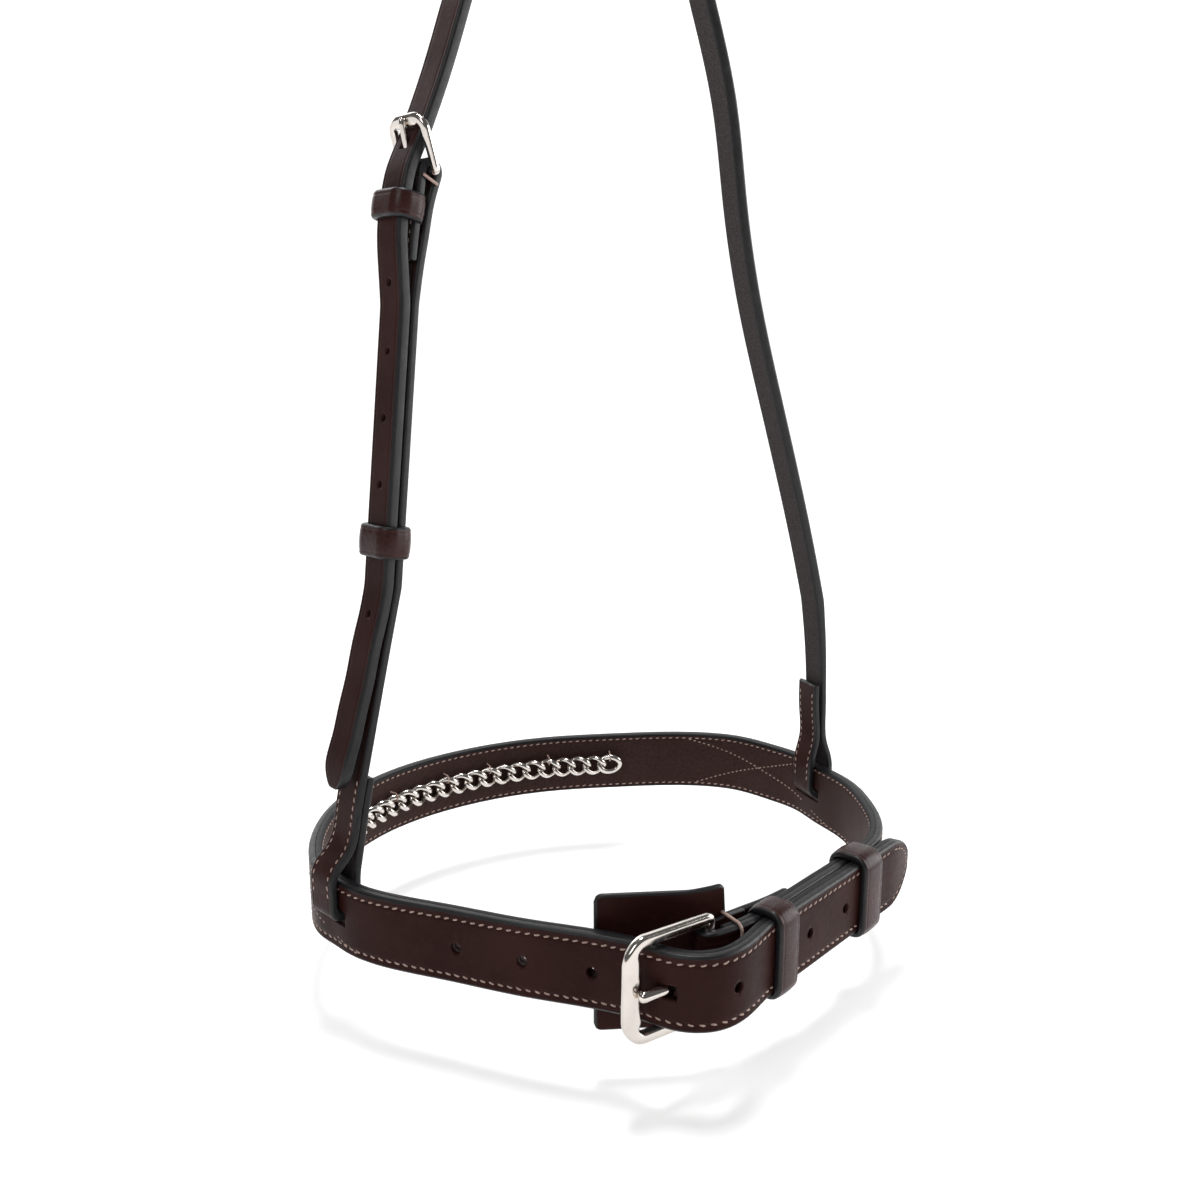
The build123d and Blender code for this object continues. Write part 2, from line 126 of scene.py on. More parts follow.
def resample(points, step):
    d = np.concatenate([[0], np.cumsum(np.linalg.norm(np.diff(points, axis=0), axis=1))])
    x = np.linspace(0, d[-1], max(2, int(round(d[-1] / step)) + 1))
    return np.stack([np.interp(x, d, points[:, i]) for i in range(points.shape[1])], 1)


def chain(*pieces, step=0.7, soften=3):
    """One even curve out of several, with its corners eased."""
    points = [pieces[0]]
    for piece in pieces[1:]:
        points.append(piece[1:])
    p = resample(np.concatenate(points), step)
    for _ in range(soften):
        q = p.copy()
        q[1:-1] = (p[:-2] + 2 * p[1:-1] + p[2:]) / 4
        p = q
    return resample(p, step)


def lengths(points):
    return np.concatenate([[0], np.cumsum(np.linalg.norm(np.diff(points, axis=0), axis=1))])


def tangents(points):
    return unit(np.gradient(points, axis=0))


def at(points, distance):
    """Points and tangents at distances along a curve."""
    d = lengths(points)

    def pick(values):
        return np.stack([np.interp(distance, d, values[:, i]) for i in range(points.shape[1])], 1)

    distance = np.atleast_1d(distance)
    return pick(points), unit(pick(tangents(points)))


def nearest(points, target):
    return lengths(points)[np.argmin(np.linalg.norm(points - np.asarray(target), axis=1))]


def on_line(t, away=0.0):
    return INTERFACE + ALONG * t + ACROSS * away


def right_of(ways):
    """Flat directions turned a quarter to their right."""
    return np.stack([ways[:, 1], -ways[:, 0]], 1)


def offset(points, distance):
    """A flat curve moved to its right."""
    return points + right_of(tangents(points)) * distance


# -------------------- planes
class Flat:
    """A plane of the object: x and y as given, z = x cross y."""

    def __init__(self, origin, x, y):
        self.o = np.asarray(origin, float)
        self.x = unit(x)
        self.y = unit(y)
        self.z = np.cross(self.x, self.y)

    def at(self, p, z=0.0):
        p = np.atleast_2d(np.asarray(p, float))
        return self.o + p[:, :1] * self.x + p[:, 1:2] * self.y + np.reshape(z, (-1, 1)) * self.z

    def way(self, p):
        p = np.atleast_2d(np.asarray(p, float))
        return p[:, :1] * self.x + p[:, 1:2] * self.y


BAND = Flat(RING, (1, 0, 0), (0, 1, 0))
NEAR = Flat(BAND.at(NEAR_LOOP)[0], (cos(NEAR_TURN), sin(NEAR_TURN), 0), UP)
FAR = Flat(BAND.at(FAR_LOOP)[0], (-cos(FAR_TURN), sin(FAR_TURN), 0), UP)


# -------------------- materials
class Nodes:
    """Short ways to build a node tree."""

    def __init__(self, name):
        self.material = bpy.data.materials.new(name)
        self.material.use_nodes = True
        self.tree = self.material.node_tree
        self.tree.nodes.clear()
        self.out = self.add("ShaderNodeOutputMaterial")
        self.shader = self.add("ShaderNodeBsdfPrincipled")
        self.link(self.shader.outputs["BSDF"], self.out.inputs["Surface"])
        self.place = self.add("ShaderNodeTexCoord").outputs["Object"]

    def add(self, kind, **settings):
        node = self.tree.nodes.new(kind)
        for key, value in settings.items():
            setattr(node, key, value)
        return node

    def link(self, a, b):
        self.tree.links.new(a, b)

    def fill(self, node, values):
        """Set a node's inputs, or link the ones that are outputs of other nodes."""
        for key, value in values.items():
            if hasattr(value, "is_output"):
                self.link(value, node.inputs[key])
            else:
                node.inputs[key].default_value = value
        return node

    def noise(self, scale, detail=4.0, rough=0.55, vector=None):
        inputs = {"Vector": vector or self.place, "Scale": scale, "Detail": detail, "Roughness": rough}
        return self.fill(self.add("ShaderNodeTexNoise"), inputs).outputs["Fac"]

    def cells(self, scale):
        node = self.add("ShaderNodeTexVoronoi", feature="DISTANCE_TO_EDGE")
        return self.fill(node, {"Vector": self.place, "Scale": scale}).outputs["Distance"]

    def math(self, operation, a, b, clamp=False):
        node = self.add("ShaderNodeMath", operation=operation, use_clamp=clamp)
        return self.fill(node, {0: a, 1: b}).outputs[0]

    def ramp(self, value, low, high, to_low=0.0, to_high=1.0):
        inputs = {"Value": value, "From Min": low, "From Max": high, "To Min": to_low, "To Max": to_high}
        return self.fill(self.add("ShaderNodeMapRange", clamp=True), inputs).outputs["Result"]

    def mix(self, factor, a, b):
        """A colour between two, each a colour or a node's output."""
        a, b = ((*c, 1.0) if isinstance(c, tuple) else c for c in (a, b))
        node = self.add("ShaderNodeMix", data_type="RGBA")
        return self.fill(node, {"Factor": factor, 6: a, 7: b}).outputs[2]

    def blend(self, factor, a, b):
        node = self.add("ShaderNodeMix", data_type="FLOAT")
        return self.fill(node, {"Factor": factor, 2: a, 3: b}).outputs[0]

    def attribute(self, name):
        return self.add("ShaderNodeAttribute", attribute_name=name).outputs["Fac"]

    def bump(self, height, strength, distance, normal=None):
        inputs = {"Height": height, "Strength": strength, "Distance": distance}
        if normal is not None:
            inputs["Normal"] = normal
        return self.fill(self.add("ShaderNodeBump"), inputs).outputs["Normal"]


def leather(name, grain, warm, flesh_back=False, roughness=0.38, gloss=0.06):
    """Bridle leather: a smooth grain face, black painted edges (attribute edge) and perhaps a flesh back."""
    n = Nodes(name)
    cloud = n.noise(38, 3)
    fine = n.noise(420, 5, 0.6)
    pores = n.cells(950)
    colour = n.mix(n.ramp(cloud, 0.35, 0.68), grain, warm)
    colour = n.mix(n.ramp(fine, 0.55, 0.8, 0, 0.25), colour, tuple(c * 1.9 for c in warm))
    rough = n.ramp(fine, 0.3, 0.7, roughness - 0.05, roughness + 0.09)
    if flesh_back:
        back = n.math("MULTIPLY", n.attribute("back"), 1.0, True)
        fuzz = n.noise(1500, 6, 0.75)
        flesh = n.mix(n.ramp(fuzz, 0.35, 0.7), (0.025, 0.021, 0.0212), (0.078, 0.066, 0.067))
        colour = n.mix(back, colour, flesh)
        rough = n.blend(back, rough, 0.82)
    ragged = n.math("ADD", n.attribute("edge"), n.ramp(n.noise(260, 2), 0.3, 0.7, -0.1, 0.1))
    painted = n.ramp(ragged, 0.42, 0.58)
    worn = n.ramp(n.noise(150, 4, 0.7), 0.52, 0.75, 0, 0.6)
    paint = n.mix(worn, EDGE_BLACK, tuple(c * 1.9 for c in EDGE_BLACK))
    n.link(n.mix(painted, colour, paint), n.shader.inputs["Base Color"])
    n.link(n.blend(painted, rough, n.ramp(fine, 0.3, 0.7, 0.34, 0.5)), n.shader.inputs["Roughness"])
    n.link(n.blend(painted, gloss, 0.34), n.shader.inputs["Specular IOR Level"])
    small = n.bump(n.ramp(pores, 0.0, 0.3), 0.1, 0.00012)
    waves = n.bump(fine, 0.16, 0.0004, small)
    n.link(n.bump(cloud, 0.12, 0.0016, waves), n.shader.inputs["Normal"])
    return n.material


def flesh(name):
    """The lining's inner face: matt, with faint fibres, and black painted edges."""
    n = Nodes(name)
    fuzz = n.noise(900, 6, 0.7)
    cloud = n.noise(60, 3)
    colour = n.mix(n.ramp(fuzz, 0.35, 0.7), (0.023, 0.0095, 0.0078), (0.052, 0.024, 0.02))
    colour = n.mix(n.ramp(cloud, 0.4, 0.7, 0, 0.5), colour, (0.028, 0.0125, 0.0105))
    painted = n.ramp(n.attribute("edge"), 0.42, 0.58)
    n.link(n.mix(painted, colour, EDGE_BLACK), n.shader.inputs["Base Color"])
    n.link(n.blend(painted, n.ramp(fuzz, 0.3, 0.7, 0.5, 0.68), 0.42), n.shader.inputs["Roughness"])
    n.shader.inputs["Specular IOR Level"].default_value = 0.14
    small = n.bump(fuzz, 0.25, 0.0003)
    n.link(n.bump(cloud, 0.15, 0.0015, small), n.shader.inputs["Normal"])
    return n.material


def metal(name, base, roughness):
    """Nickel plate: bright, with a faint orange peel, fine scratches and tarnish."""
    n = Nodes(name)
    cloud = n.noise(90, 4)
    scratch = n.add("ShaderNodeMapping")
    n.link(n.place, scratch.inputs["Vector"])
    scratch.inputs["Scale"].default_value = (60, 900, 900)
    lines = n.noise(1.0, 4, 0.6, scratch.outputs["Vector"])
    dull = n.ramp(cloud, 0.55, 0.75, 0, 0.35)
    n.link(n.mix(dull, base, tuple(c * 0.72 for c in base)), n.shader.inputs["Base Color"])
    n.shader.inputs["Metallic"].default_value = 1.0
    n.link(n.ramp(cloud, 0.3, 0.75, roughness, roughness + 0.12), n.shader.inputs["Roughness"])
    small = n.bump(lines, 0.035, 0.0002)
    n.link(n.bump(n.noise(260, 2), 0.07, 0.0004, small), n.shader.inputs["Normal"])
    return n.material


def thread(name):
    """Waxed thread with a twist."""
    n = Nodes(name)
    fibre = n.noise(2200, 3)
    cloud = n.noise(120, 3)
    colour = n.mix(n.ramp(fibre, 0.3, 0.7), (0.31, 0.2, 0.165), (0.54, 0.4, 0.345))
    colour = n.mix(n.ramp(cloud, 0.5, 0.75, 0, 0.45), colour, (0.3, 0.19, 0.16))
    n.link(colour, n.shader.inputs["Base Color"])
    n.shader.inputs["Roughness"].default_value = 0.6
    n.link(n.bump(fibre, 0.35, 0.0003), n.shader.inputs["Normal"])
    return n.material


GRAIN = leather("look_grain", (0.0215, 0.0066, 0.0053), (0.033, 0.0112, 0.0096))
STRAP_GRAIN = leather("look_strap_grain", (0.023, 0.0078, 0.0067), (0.036, 0.0135, 0.012), flesh_back=True)
KEEPER_GRAIN = leather("look_keeper_grain", (0.024, 0.0082, 0.0072), (0.042, 0.0145, 0.013), roughness=0.27,
                       gloss=0.2)
LINING = flesh("look_lining")
NICKEL = metal("look_nickel", (0.68, 0.63, 0.585), 0.09)
CHAIN = metal("look_chain", (0.68, 0.635, 0.595), 0.14)
THREAD = thread("look_thread")


# -------------------- meshes
def make(name, verts, faces, material, attributes=None):
    """An object from millimetre points, in the row frame."""
    mesh = bpy.data.meshes.new(name)
    mesh.from_pydata((np.asarray(verts) * MM).tolist(), [], [list(map(int, f)) for f in faces])
    for key, values in (attributes or {}).items():
        layer = mesh.attributes.new(key, "FLOAT", "POINT")
        layer.data.foreach_set("value", np.asarray(values, np.float32))
    mesh.materials.append(material)
    mesh.shade_smooth()
    mesh.update()
    obj = bpy.data.objects.new(name, mesh)
    bpy.context.scene.collection.objects.link(obj)
    return obj


def face_outward(obj, weld=0.0):
    """Weld points closer than a distance in metres, if asked, and turn every face outward."""
    bm = bmesh.new()
    bm.from_mesh(obj.data)
    if weld:
        bmesh.ops.remove_doubles(bm, verts=bm.verts, dist=weld)
    bmesh.ops.recalc_face_normals(bm, faces=bm.faces)
    bm.to_mesh(obj.data)
    bm.free()
    return obj


def settle(obj, body, *nodes):
    """Put a finished piece on its body, in place of its CAD nodes."""
    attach(obj, body)
    if nodes:
        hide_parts(*nodes)
    return obj


def grid_faces(rows, columns, closed_rows=False):
    """Quads of a tube: columns go round, rows go along."""
    r = np.arange(rows if closed_rows else rows - 1)[:, None]
    c = np.arange(columns)[None]
    r2 = (r + 1) % rows
    c2 = (c + 1) % columns
    corners = (r * columns + c, r * columns + c2, r2 * columns + c2, r2 * columns + c)
    return np.stack([corner.ravel() for corner in corners], 1)


def end_caps(rows, columns):
    """The two end faces of a tube made by grid_faces."""
    return [list(range(columns))[::-1], [(rows - 1) * columns + c for c in range(columns)]]


def profile(thick, width, round_top, round_bottom, groove=None, crease=None):
    """A strap's cross-section, as (a, b, edge, back): a through the thickness, b across the width.

    The top is the side a = thick. round_top and round_bottom are the edge radii. groove and crease are lines
    pressed into the top along both edges: (distance from the edge, depth, width).
    """
    half = width / 2
    inner = np.linspace(5.0, half, max(3, int((half - 5) / 1.6) + 1)) if half > 5.6 else np.array([half])
    fine = np.concatenate([np.linspace(0, 1.2, 5)[:-1], np.linspace(1.2, 5.0, 13)[:-1], inner])
    across = np.append(fine[fine <= half - 1e-6], half)
    from_edge = np.concatenate([across[:-1], across[::-1]])
    sign = np.concatenate([-np.ones(len(across) - 1), np.ones(len(across))])
    steps = 6

    def corner(a, b, radius, start, rising, back=()):
        """A quarter circle; its edge paint rises or falls, and the steps in back are flesh."""
        points = []
        for i in range(steps + 1):
            angle = radians(start - 90 * i / steps)
            inward = i if rising else steps - i
            paint = 1.0 if inward > 1 else 0.5 * inward + 0.2
            flesh_side = 1.0 if i in back else 0.0
            points.append((a + radius * sin(angle), b + radius * cos(angle), paint, flesh_side))
        return points

    top = []
    for d, s in zip(from_edge, sign):
        if d >= round_top:
            depth = sum(m[1] * np.exp(-(((d - m[0]) / m[2]) ** 2)) for m in (groove, crease) if m)
            top.append((thick - depth, s * (half - d), 0.0, 0.0))
    bottom = [(0.0, s * (half - d), 0.0, 1.0) for d, s in zip(from_edge, sign) if d >= round_bottom]
    rows = [
        *top,
        *corner(thick - round_top, half - round_top, round_top, 90, True),
        *corner(round_bottom, half - round_bottom, round_bottom, 0, False, (steps,)),
        *bottom[::-1],
        *corner(round_bottom, round_bottom - half, round_bottom, -90, True, (0, 1)),
        *corner(thick - round_top, round_top - half, round_top, 180, False),
    ]
    keep = [rows[0]]
    for row in rows[1:]:
        if abs(row[0] - keep[-1][0]) + abs(row[1] - keep[-1][1]) > 0.02:
            keep.append(row)
    if abs(keep[0][0] - keep[-1][0]) + abs(keep[0][1] - keep[-1][1]) < 0.02:
        keep.pop()
    return np.array(keep)


def strap(name, path, outward, width_dir, shape, material, start_round=(0.0, 0.0), end_round=(0.0, 0.0),
          scale=None):
    """Sweep a profile along a 3-D path.

    outward is the way the profile's thickness grows, width_dir its width. start_round and end_round
    are (half width, length) of the strap's egg-shaped ends. scale is a thickness factor for each point of the
    path, about the profile's middle.
    """
    ease = 0.9
    d = lengths(path)
    total = d[-1]
    half = shape[:, 1].max()
    thick = shape[:, 0].max()
    close = np.array([0.0, 0.12, 0.3, 0.5])
    stations = np.unique(np.concatenate([d, close, total - close]))

    def pick(values):
        return np.stack([np.interp(stations, d, values[:, i]) for i in range(3)], 1)

    p = pick(path)
    o = unit(pick(outward))
    w = unit(pick(width_dir))
    s = np.ones(len(stations)) if scale is None else np.interp(stations, d, scale)
    wide = np.ones(len(stations))
    thin = np.ones(len(stations))
    for (radius, long), away in ((start_round, stations), (end_round, total - stations)):
        if radius:
            x = np.clip(away / long, 0, 1)
            wide = np.minimum(wide, (half - radius + radius * (1 - (1 - x) ** EGG) ** (1 / EGG)) / half)
        x = np.clip(away, 0, ease)
        thin = np.minimum(thin, 0.25 + 0.75 * np.sqrt(np.maximum(1 - (1 - x / ease) ** 2, 0.0)))
    wide = np.maximum(wide, 0.12)
    a = (shape[None, :, 0] - thick / 2) * (s * thin)[:, None] + thick / 2
    b = shape[None, :, 1] * wide[:, None]
    verts = p[:, None] + o[:, None] * a[..., None] + w[:, None] * b[..., None]
    rows, columns = len(stations), len(shape)
    faces = grid_faces(rows, columns).tolist() + end_caps(rows, columns)
    edge = np.repeat(shape[None, :, 2], rows, 0)
    near_end = np.clip(1.25 - np.minimum(stations, total - stations) / 0.9, 0, 1)
    edge = np.maximum(edge, near_end[:, None])
    if start_round[0] or end_round[0]:
        rim = half * wide[:, None] - np.abs(b)
        slope_zone = (wide < 0.999)[:, None] & (rim < 0.9)
        edge = np.where(slope_zone, 1.0, edge)
    back = np.repeat(shape[None, :, 3], rows, 0)
    attributes = {"edge": edge.ravel(), "back": back.ravel()}
    return face_outward(make(name, verts.reshape(-1, 3), faces, material, attributes))


def cut(obj, cutters):
    """Cut closed meshes out of an object, then throw them away."""
    for cutter in cutters:
        modifier = obj.modifiers.new("cut", "BOOLEAN")
        modifier.operation = "DIFFERENCE"
        modifier.solver = "EXACT"
        modifier.object = cutter
    bpy.context.view_layer.update()
    dg = bpy.context.evaluated_depsgraph_get()
    mesh = bpy.data.meshes.new_from_object(obj.evaluated_get(dg))
    obj.modifiers.clear()
    old = obj.data
    obj.data = mesh
    mesh.name = old.name
    bpy.data.meshes.remove(old)
    for cutter in cutters:
        bpy.data.objects.remove(cutter)
    return obj


def cutter(name, verts, faces, material):
    """A closed mesh to cut with, whose walls count as painted edge."""
    return make(name, verts, faces, material, {"edge": np.ones(len(verts)), "back": np.zeros(len(verts))})


def rod(name, a, b, radius, material):
    """A round bar between two points, for cutting."""
    sides = 32
    t = unit(b - a)
    x = unit(np.cross(t, [0.3, 0.5, 0.8]))
    y = np.cross(t, x)
    angles = np.linspace(0, 2 * pi, sides, endpoint=False)
    ring = np.cos(angles)[:, None] * x + np.sin(angles)[:, None] * y
    verts = np.concatenate([a + ring * radius, b + ring * radius])
    return cutter(name, verts, grid_faces(2, sides).tolist() + end_caps(2, sides), material)


def block(name, flat, centre, size, material):
    """A box on a plane's axes, for cutting."""
    signs = [(i, j, k) for i in (-1, 1) for j in (-1, 1) for k in (-1, 1)]
    local = np.asarray(centre) + np.array(signs) * np.asarray(size) / 2
    verts = flat.at(local[:, :2], local[:, 2])
    faces = [(0, 1, 3, 2), (4, 6, 7, 5), (0, 4, 5, 1), (2, 3, 7, 6), (0, 2, 6, 4), (1, 5, 7, 3)]
    return cutter(name, verts, faces, material)


def tube(name, path, radius, material, closed=False, sides=16, squash=1.0, normal=None):
    """A round wire along a path. radius may vary from point to point."""
    p = np.asarray(path, float)
    n = len(p)
    t = unit(np.roll(p, -1, 0) - np.roll(p, 1, 0)) if closed else tangents(p)
    side = np.zeros_like(p)
    first = np.asarray(normal if normal is not None else [0.13, 0.27, 0.95], float)
    side[0] = unit(first - t[0] * (first @ t[0]))
    for i in range(1, n):
        side[i] = unit(side[i - 1] - t[i] * (side[i - 1] @ t[i]))
    if closed:
        v = unit(side[-1] - t[0] * (side[-1] @ t[0]))
        twist = atan2(np.cross(v, side[0]) @ t[0], v @ side[0])
        for i in range(n):
            angle = twist * i / n
            side[i] = side[i] * cos(angle) + np.cross(t[i], side[i]) * sin(angle)
    other = np.cross(t, side)
    r = np.broadcast_to(np.asarray(radius, float), (n,))
    angles = np.linspace(0, 2 * pi, sides, endpoint=False)
    verts = (
        p[:, None]
        + side[:, None] * (np.cos(angles)[None, :, None] * r[:, None, None])
        + other[:, None] * (np.sin(angles)[None, :, None] * r[:, None, None] * squash)
    )
    faces = grid_faces(n, sides, closed).tolist()
    if not closed:
        faces += end_caps(n, sides)
    return make(name, verts.reshape(-1, 3), faces, material)


def stitches(spots, ways, normals, length, radius, slant, seed):
    """A row of single stitches: small bent capsules that sink at both ends."""
    chance = np.random.default_rng(seed)
    spots = np.asarray(spots)
    n = len(spots)
    t = unit(ways)
    o = unit(normals)
    b = np.cross(o, t)
    angle = np.radians(slant + chance.normal(0, 3.0, n))[:, None]
    run = t * np.cos(angle) + b * np.sin(angle)
    side = np.cross(o, run)
    u = np.linspace(-1, 1, 9)
    sides = 8
    round_ = np.linspace(0, 2 * pi, sides, endpoint=False)
    size = length / 2 * (1 + chance.normal(0, 0.05, n))[:, None]
    thick = radius * np.sqrt(np.maximum(1 - np.abs(u) ** 3.5, 0.02))
    sink = -0.42 * np.abs(u) ** 2.6 * radius * 1.6
    centre = (
        spots[:, None]
        + run[:, None] * (u[None, :, None] * size[:, :, None])
        + o[:, None] * sink[None, :, None]
    )
    verts = (
        centre[:, :, None]
        + side[:, None, None] * (np.cos(round_)[None, None, :, None] * thick[None, :, None, None])
        + o[:, None, None] * (np.sin(round_)[None, None, :, None] * thick[None, :, None, None] * 0.85)
    )
    single = grid_faces(len(u), sides)
    faces = (single[None] + (np.arange(n) * len(u) * sides)[:, None, None]).reshape(-1, 4)
    return make("stitches", verts.reshape(-1, 3), faces.tolist(), THREAD)


def row(guide, flat, right, height, pitch, first, last):
    """Spots for a stitch row: along a flat path, offset to its right, at a height across the strap."""
    count = max(1, int((last - first) / pitch))
    spot, way = at(guide, first + pitch * (np.arange(count) + 0.5))
    out = right_of(way) * np.sign(right)
    place = flat.at(spot + out * abs(right), height)
    return place, flat.way(way), flat.way(out)


def join(name, parts, body, *nodes):
    """Merge meshes of one material into one piece."""
    bm = bmesh.new()
    for part in parts:
        bm.from_mesh(part.data)
    mesh = bpy.data.meshes.new(name)
    bm.to_mesh(mesh)
    bm.free()
    mesh.materials.append(parts[0].data.materials[0])
    mesh.shade_smooth()
    for part in parts:
        bpy.data.objects.remove(part)
    obj = bpy.data.objects.new(name, mesh)
    bpy.context.scene.collection.objects.link(obj)
    return settle(obj, body, *nodes)


# -------------------- noseband guides
WRAP = 2.1
chape_parts = [
    line((-3.5, -95.4), HEEL + [0, WRAP]),
    arc(HEEL, WRAP, 90, 180),
    line(HEEL + [0, -WRAP], HEEL + [4.2, -WRAP]),
]
far_flat = np.array([sin(FAR_TURN), cos(FAR_TURN)]) * 8
near_flat = np.array([-sin(NEAR_TURN), cos(NEAR_TURN)]) * 8
lining_parts = [
    spline([HEEL + [4.2, -WRAP], (-11, -100.9), on_line(-10, -GUIDE_AWAY), on_line(-5, -GUIDE_AWAY),
            on_line(-0.5, -GUIDE_AWAY)]),
    line(on_line(-0.5, -GUIDE_AWAY), on_line(60.5, -GUIDE_AWAY)),
    spline([
        on_line(60.5, -GUIDE_AWAY), on_line(64, -GUIDE_AWAY), (80, -67), (96.3, -43.3), (104.3, -21.8),
        FAR_LOOP - far_flat, FAR_LOOP, FAR_LOOP + far_flat,
        (104.6, 27), (98, 45.5), (85.5, 58.8), (52.5, 76.4), (16.5, 89.4), (-23.4, 92), (-57, 84),
        (-85.2, 65.5), (-103.5, 40), (-111.3, 20), NEAR_LOOP + near_flat, NEAR_LOOP, NEAR_LOOP - near_flat,
        (-87.6, -43), (-69.4, -65.6), (-51.4, -85.3), (-42.4, -98.2), (-38, -106), (-27.4, -112.6),
        (-13.2, -109.9), on_line(-9, GUIDE_AWAY), on_line(-5, GUIDE_AWAY),
    ]),
    line(on_line(-5, GUIDE_AWAY), on_line(66.5, GUIDE_AWAY)),
    spline([on_line(66.5, GUIDE_AWAY), on_line(70, GUIDE_AWAY), (81, -76), (90.5, -70.8)]),
]
outer_guide = chain(*chape_parts, *lining_parts, soften=2)
lining_guide = chain(*lining_parts, soften=2)


def flat_frames(flat, path, turned=1):
    """3-D path, right-hand (or with -1 left-hand) direction and width direction of a flat guide."""
    return flat.at(path), flat.way(right_of(tangents(path)) * turned), np.repeat(flat.z[None], len(path), 0)


STITCH_IN, INNER_STITCH_IN = 3.0, 1.9
outer_shape = profile(PLY, BAND_HEIGHT, 1.25, 0.25, groove=(STITCH_IN, 0.28, 0.75), crease=(1.75, 0.1, 0.35))
lining_shape = profile(PLY - 0.03, BAND_HEIGHT, 1.1, 0.25, groove=(1.9, 0.18, 0.7))

path, out, wide = flat_frames(BAND, outer_guide)
noseband = strap("noseband_leather", path, out, wide, outer_shape, GRAIN, end_round=(12.5, TIP))
path, out, wide = flat_frames(BAND, offset(lining_guide, -0.03), -1)
lining = strap("noseband_lining_leather", path, out, wide, lining_shape, LINING, end_round=(12.5, TIP))

buckle_x = unit(FRONT - HEEL)
buckle_out = np.array([-buckle_x[1], buckle_x[0]])
BUCKLE = Flat(BAND.at(HEEL)[0], BAND.way(buckle_x)[0], -UP)

first_hole = nearest(outer_guide, on_line(-5, GUIDE_AWAY)) + 18.2
hole_at = [nearest(outer_guide, PRONG) + HOLE_PITCH * k for k in (-3, -2, -1, 1)]
hole_at += [first_hole, first_hole + HOLE_PITCH]


def through_band(name, spot, outward, radius):
    """A round cutter through both plies."""
    return rod(name, BAND.at(spot - outward * 6)[0], BAND.at(spot + outward * 6)[0], radius, GRAIN)


def band_cutters(tag, is_outer):
    """Cutters for the holes, slits and buckle slots of one ply."""
    spots, ways = at(outer_guide, hole_at)
    made = [through_band(f"{tag}{i}", *pair, 1.9) for i, pair in enumerate(zip(spots, right_of(ways)))]
    made.append(block(tag + "near", NEAR, (0, 0, 0), SLIT_SIZE, GRAIN))
    made.append(block(tag + "far", FAR, (0, 0, 0), SLIT_SIZE, GRAIN))
    if is_outer:
        for i, away in enumerate((0.3, -1.3)):
            made.append(through_band(f"{tag}prong{i}", PRONG + buckle_x * away, buckle_out, 2.55))
        made.append(block(tag + "wrap", BUCKLE, (0, 0, 0), (13, 5.6, 9.4), GRAIN))
    else:
        prong_flat = Flat(BAND.at(PRONG)[0], BAND.way(buckle_x)[0], BAND.way(buckle_out)[0])
        made.append(block(tag + "prong", prong_flat, (-1.5, 0, 0), (15, 6.2, 5.0), GRAIN))
    return made


cut(noseband, band_cutters("outer_cut", True))
cut(lining, band_cutters("lining_cut", False))
settle(noseband, "noseband", "noseband_outer")
settle(lining, "noseband", "noseband_lining")

# stitch rows: both faces, both edges, round the whole ring and the billet
PITCH = 3.2
total = lengths(lining_guide)[-1]
ring_from = nearest(lining_guide, on_line(8, -GUIDE_AWAY))
ring_to = nearest(lining_guide, (-13.2, -109.9))
rows = []
for side in (1, -1):
    height = side * (BAND_HEIGHT / 2 - STITCH_IN)
    place = row(lining_guide, BAND, PLY - 0.2, height, PITCH, 14.0, total - TIP)
    rows.append(stitches(*place, 2.25, 0.35, 15 * side, 3 + side))
    height = side * (BAND_HEIGHT / 2 - INNER_STITCH_IN)
    place = row(lining_guide, BAND, -(PLY - 0.1), height, PITCH, ring_from, ring_to)
    rows.append(stitches(*place, 1.9, 0.28, 8, 5 + side))
turn = np.linspace(pi / 2, -pi / 2, 15)[1:-1]
ahead = (TIP - STITCH_IN) * np.cos(turn) ** (2 / EGG)
across = (BAND_HEIGHT / 2 - STITCH_IN) * np.sign(np.sin(turn)) * np.abs(np.sin(turn)) ** (2 / EGG)
tip_spot, tip_way = at(lining_guide, total - TIP + ahead)
tip_normal = right_of(tip_way)
place = BAND.at(tip_spot + tip_normal * (PLY - 0.1), across)
slopes = np.gradient(np.stack([ahead, across], 1), axis=0)
ways = BAND.way(tip_way) * slopes[:, :1] + UP * slopes[:, 1:]
rows.append(stitches(place, ways, BAND.way(tip_normal), 1.9, 0.3, 10, 9))


def cross_stitch(first, second, low_height, high_height, seed):
    """A straight row of small stitches across the band, through to both of its faces."""
    n = max(3, int(np.hypot(second - first, high_height - low_height) / 2.3))
    share = (np.arange(n) + 0.5) / n
    distance = first + (second - first) * share
    spot, way = at(lining_guide, distance)
    normal = right_of(way)
    height = low_height + (high_height - low_height) * share
    ways = BAND.way(way) * (second - first) + UP * (high_height - low_height)
    # no stitch over a slit
    from_slit = np.min([np.abs(distance - nearest(lining_guide, p)) for p in (FAR_LOOP, NEAR_LOOP)], 0)
    keep = (from_slit > 3.8) | (np.abs(height) > 9.6)
    spot, normal, height, ways = spot[keep], normal[keep], height[keep], ways[keep]
    for level, face in ((PLY - 0.04, 1), (-PLY + 0.02, -1)):
        rows.append(stitches(BAND.at(spot + normal * level, height), ways, BAND.way(normal) * face,
                             1.4, 0.27, 4, seed))


top_row = BAND_HEIGHT / 2 - 2.2
# where each pair of crossing rows starts and ends along the lining: one pair beside each loop
CROSSES = [(248, 164, 244, 184), (434, 518, 439, 498)]
for low_first, low_last, high_first, high_last in CROSSES:
    cross_stitch(low_first, low_last, top_row, -top_row, 31)
    cross_stitch(high_first, high_last, -top_row, top_row, 37)
join("noseband_stitches", rows, "noseband")


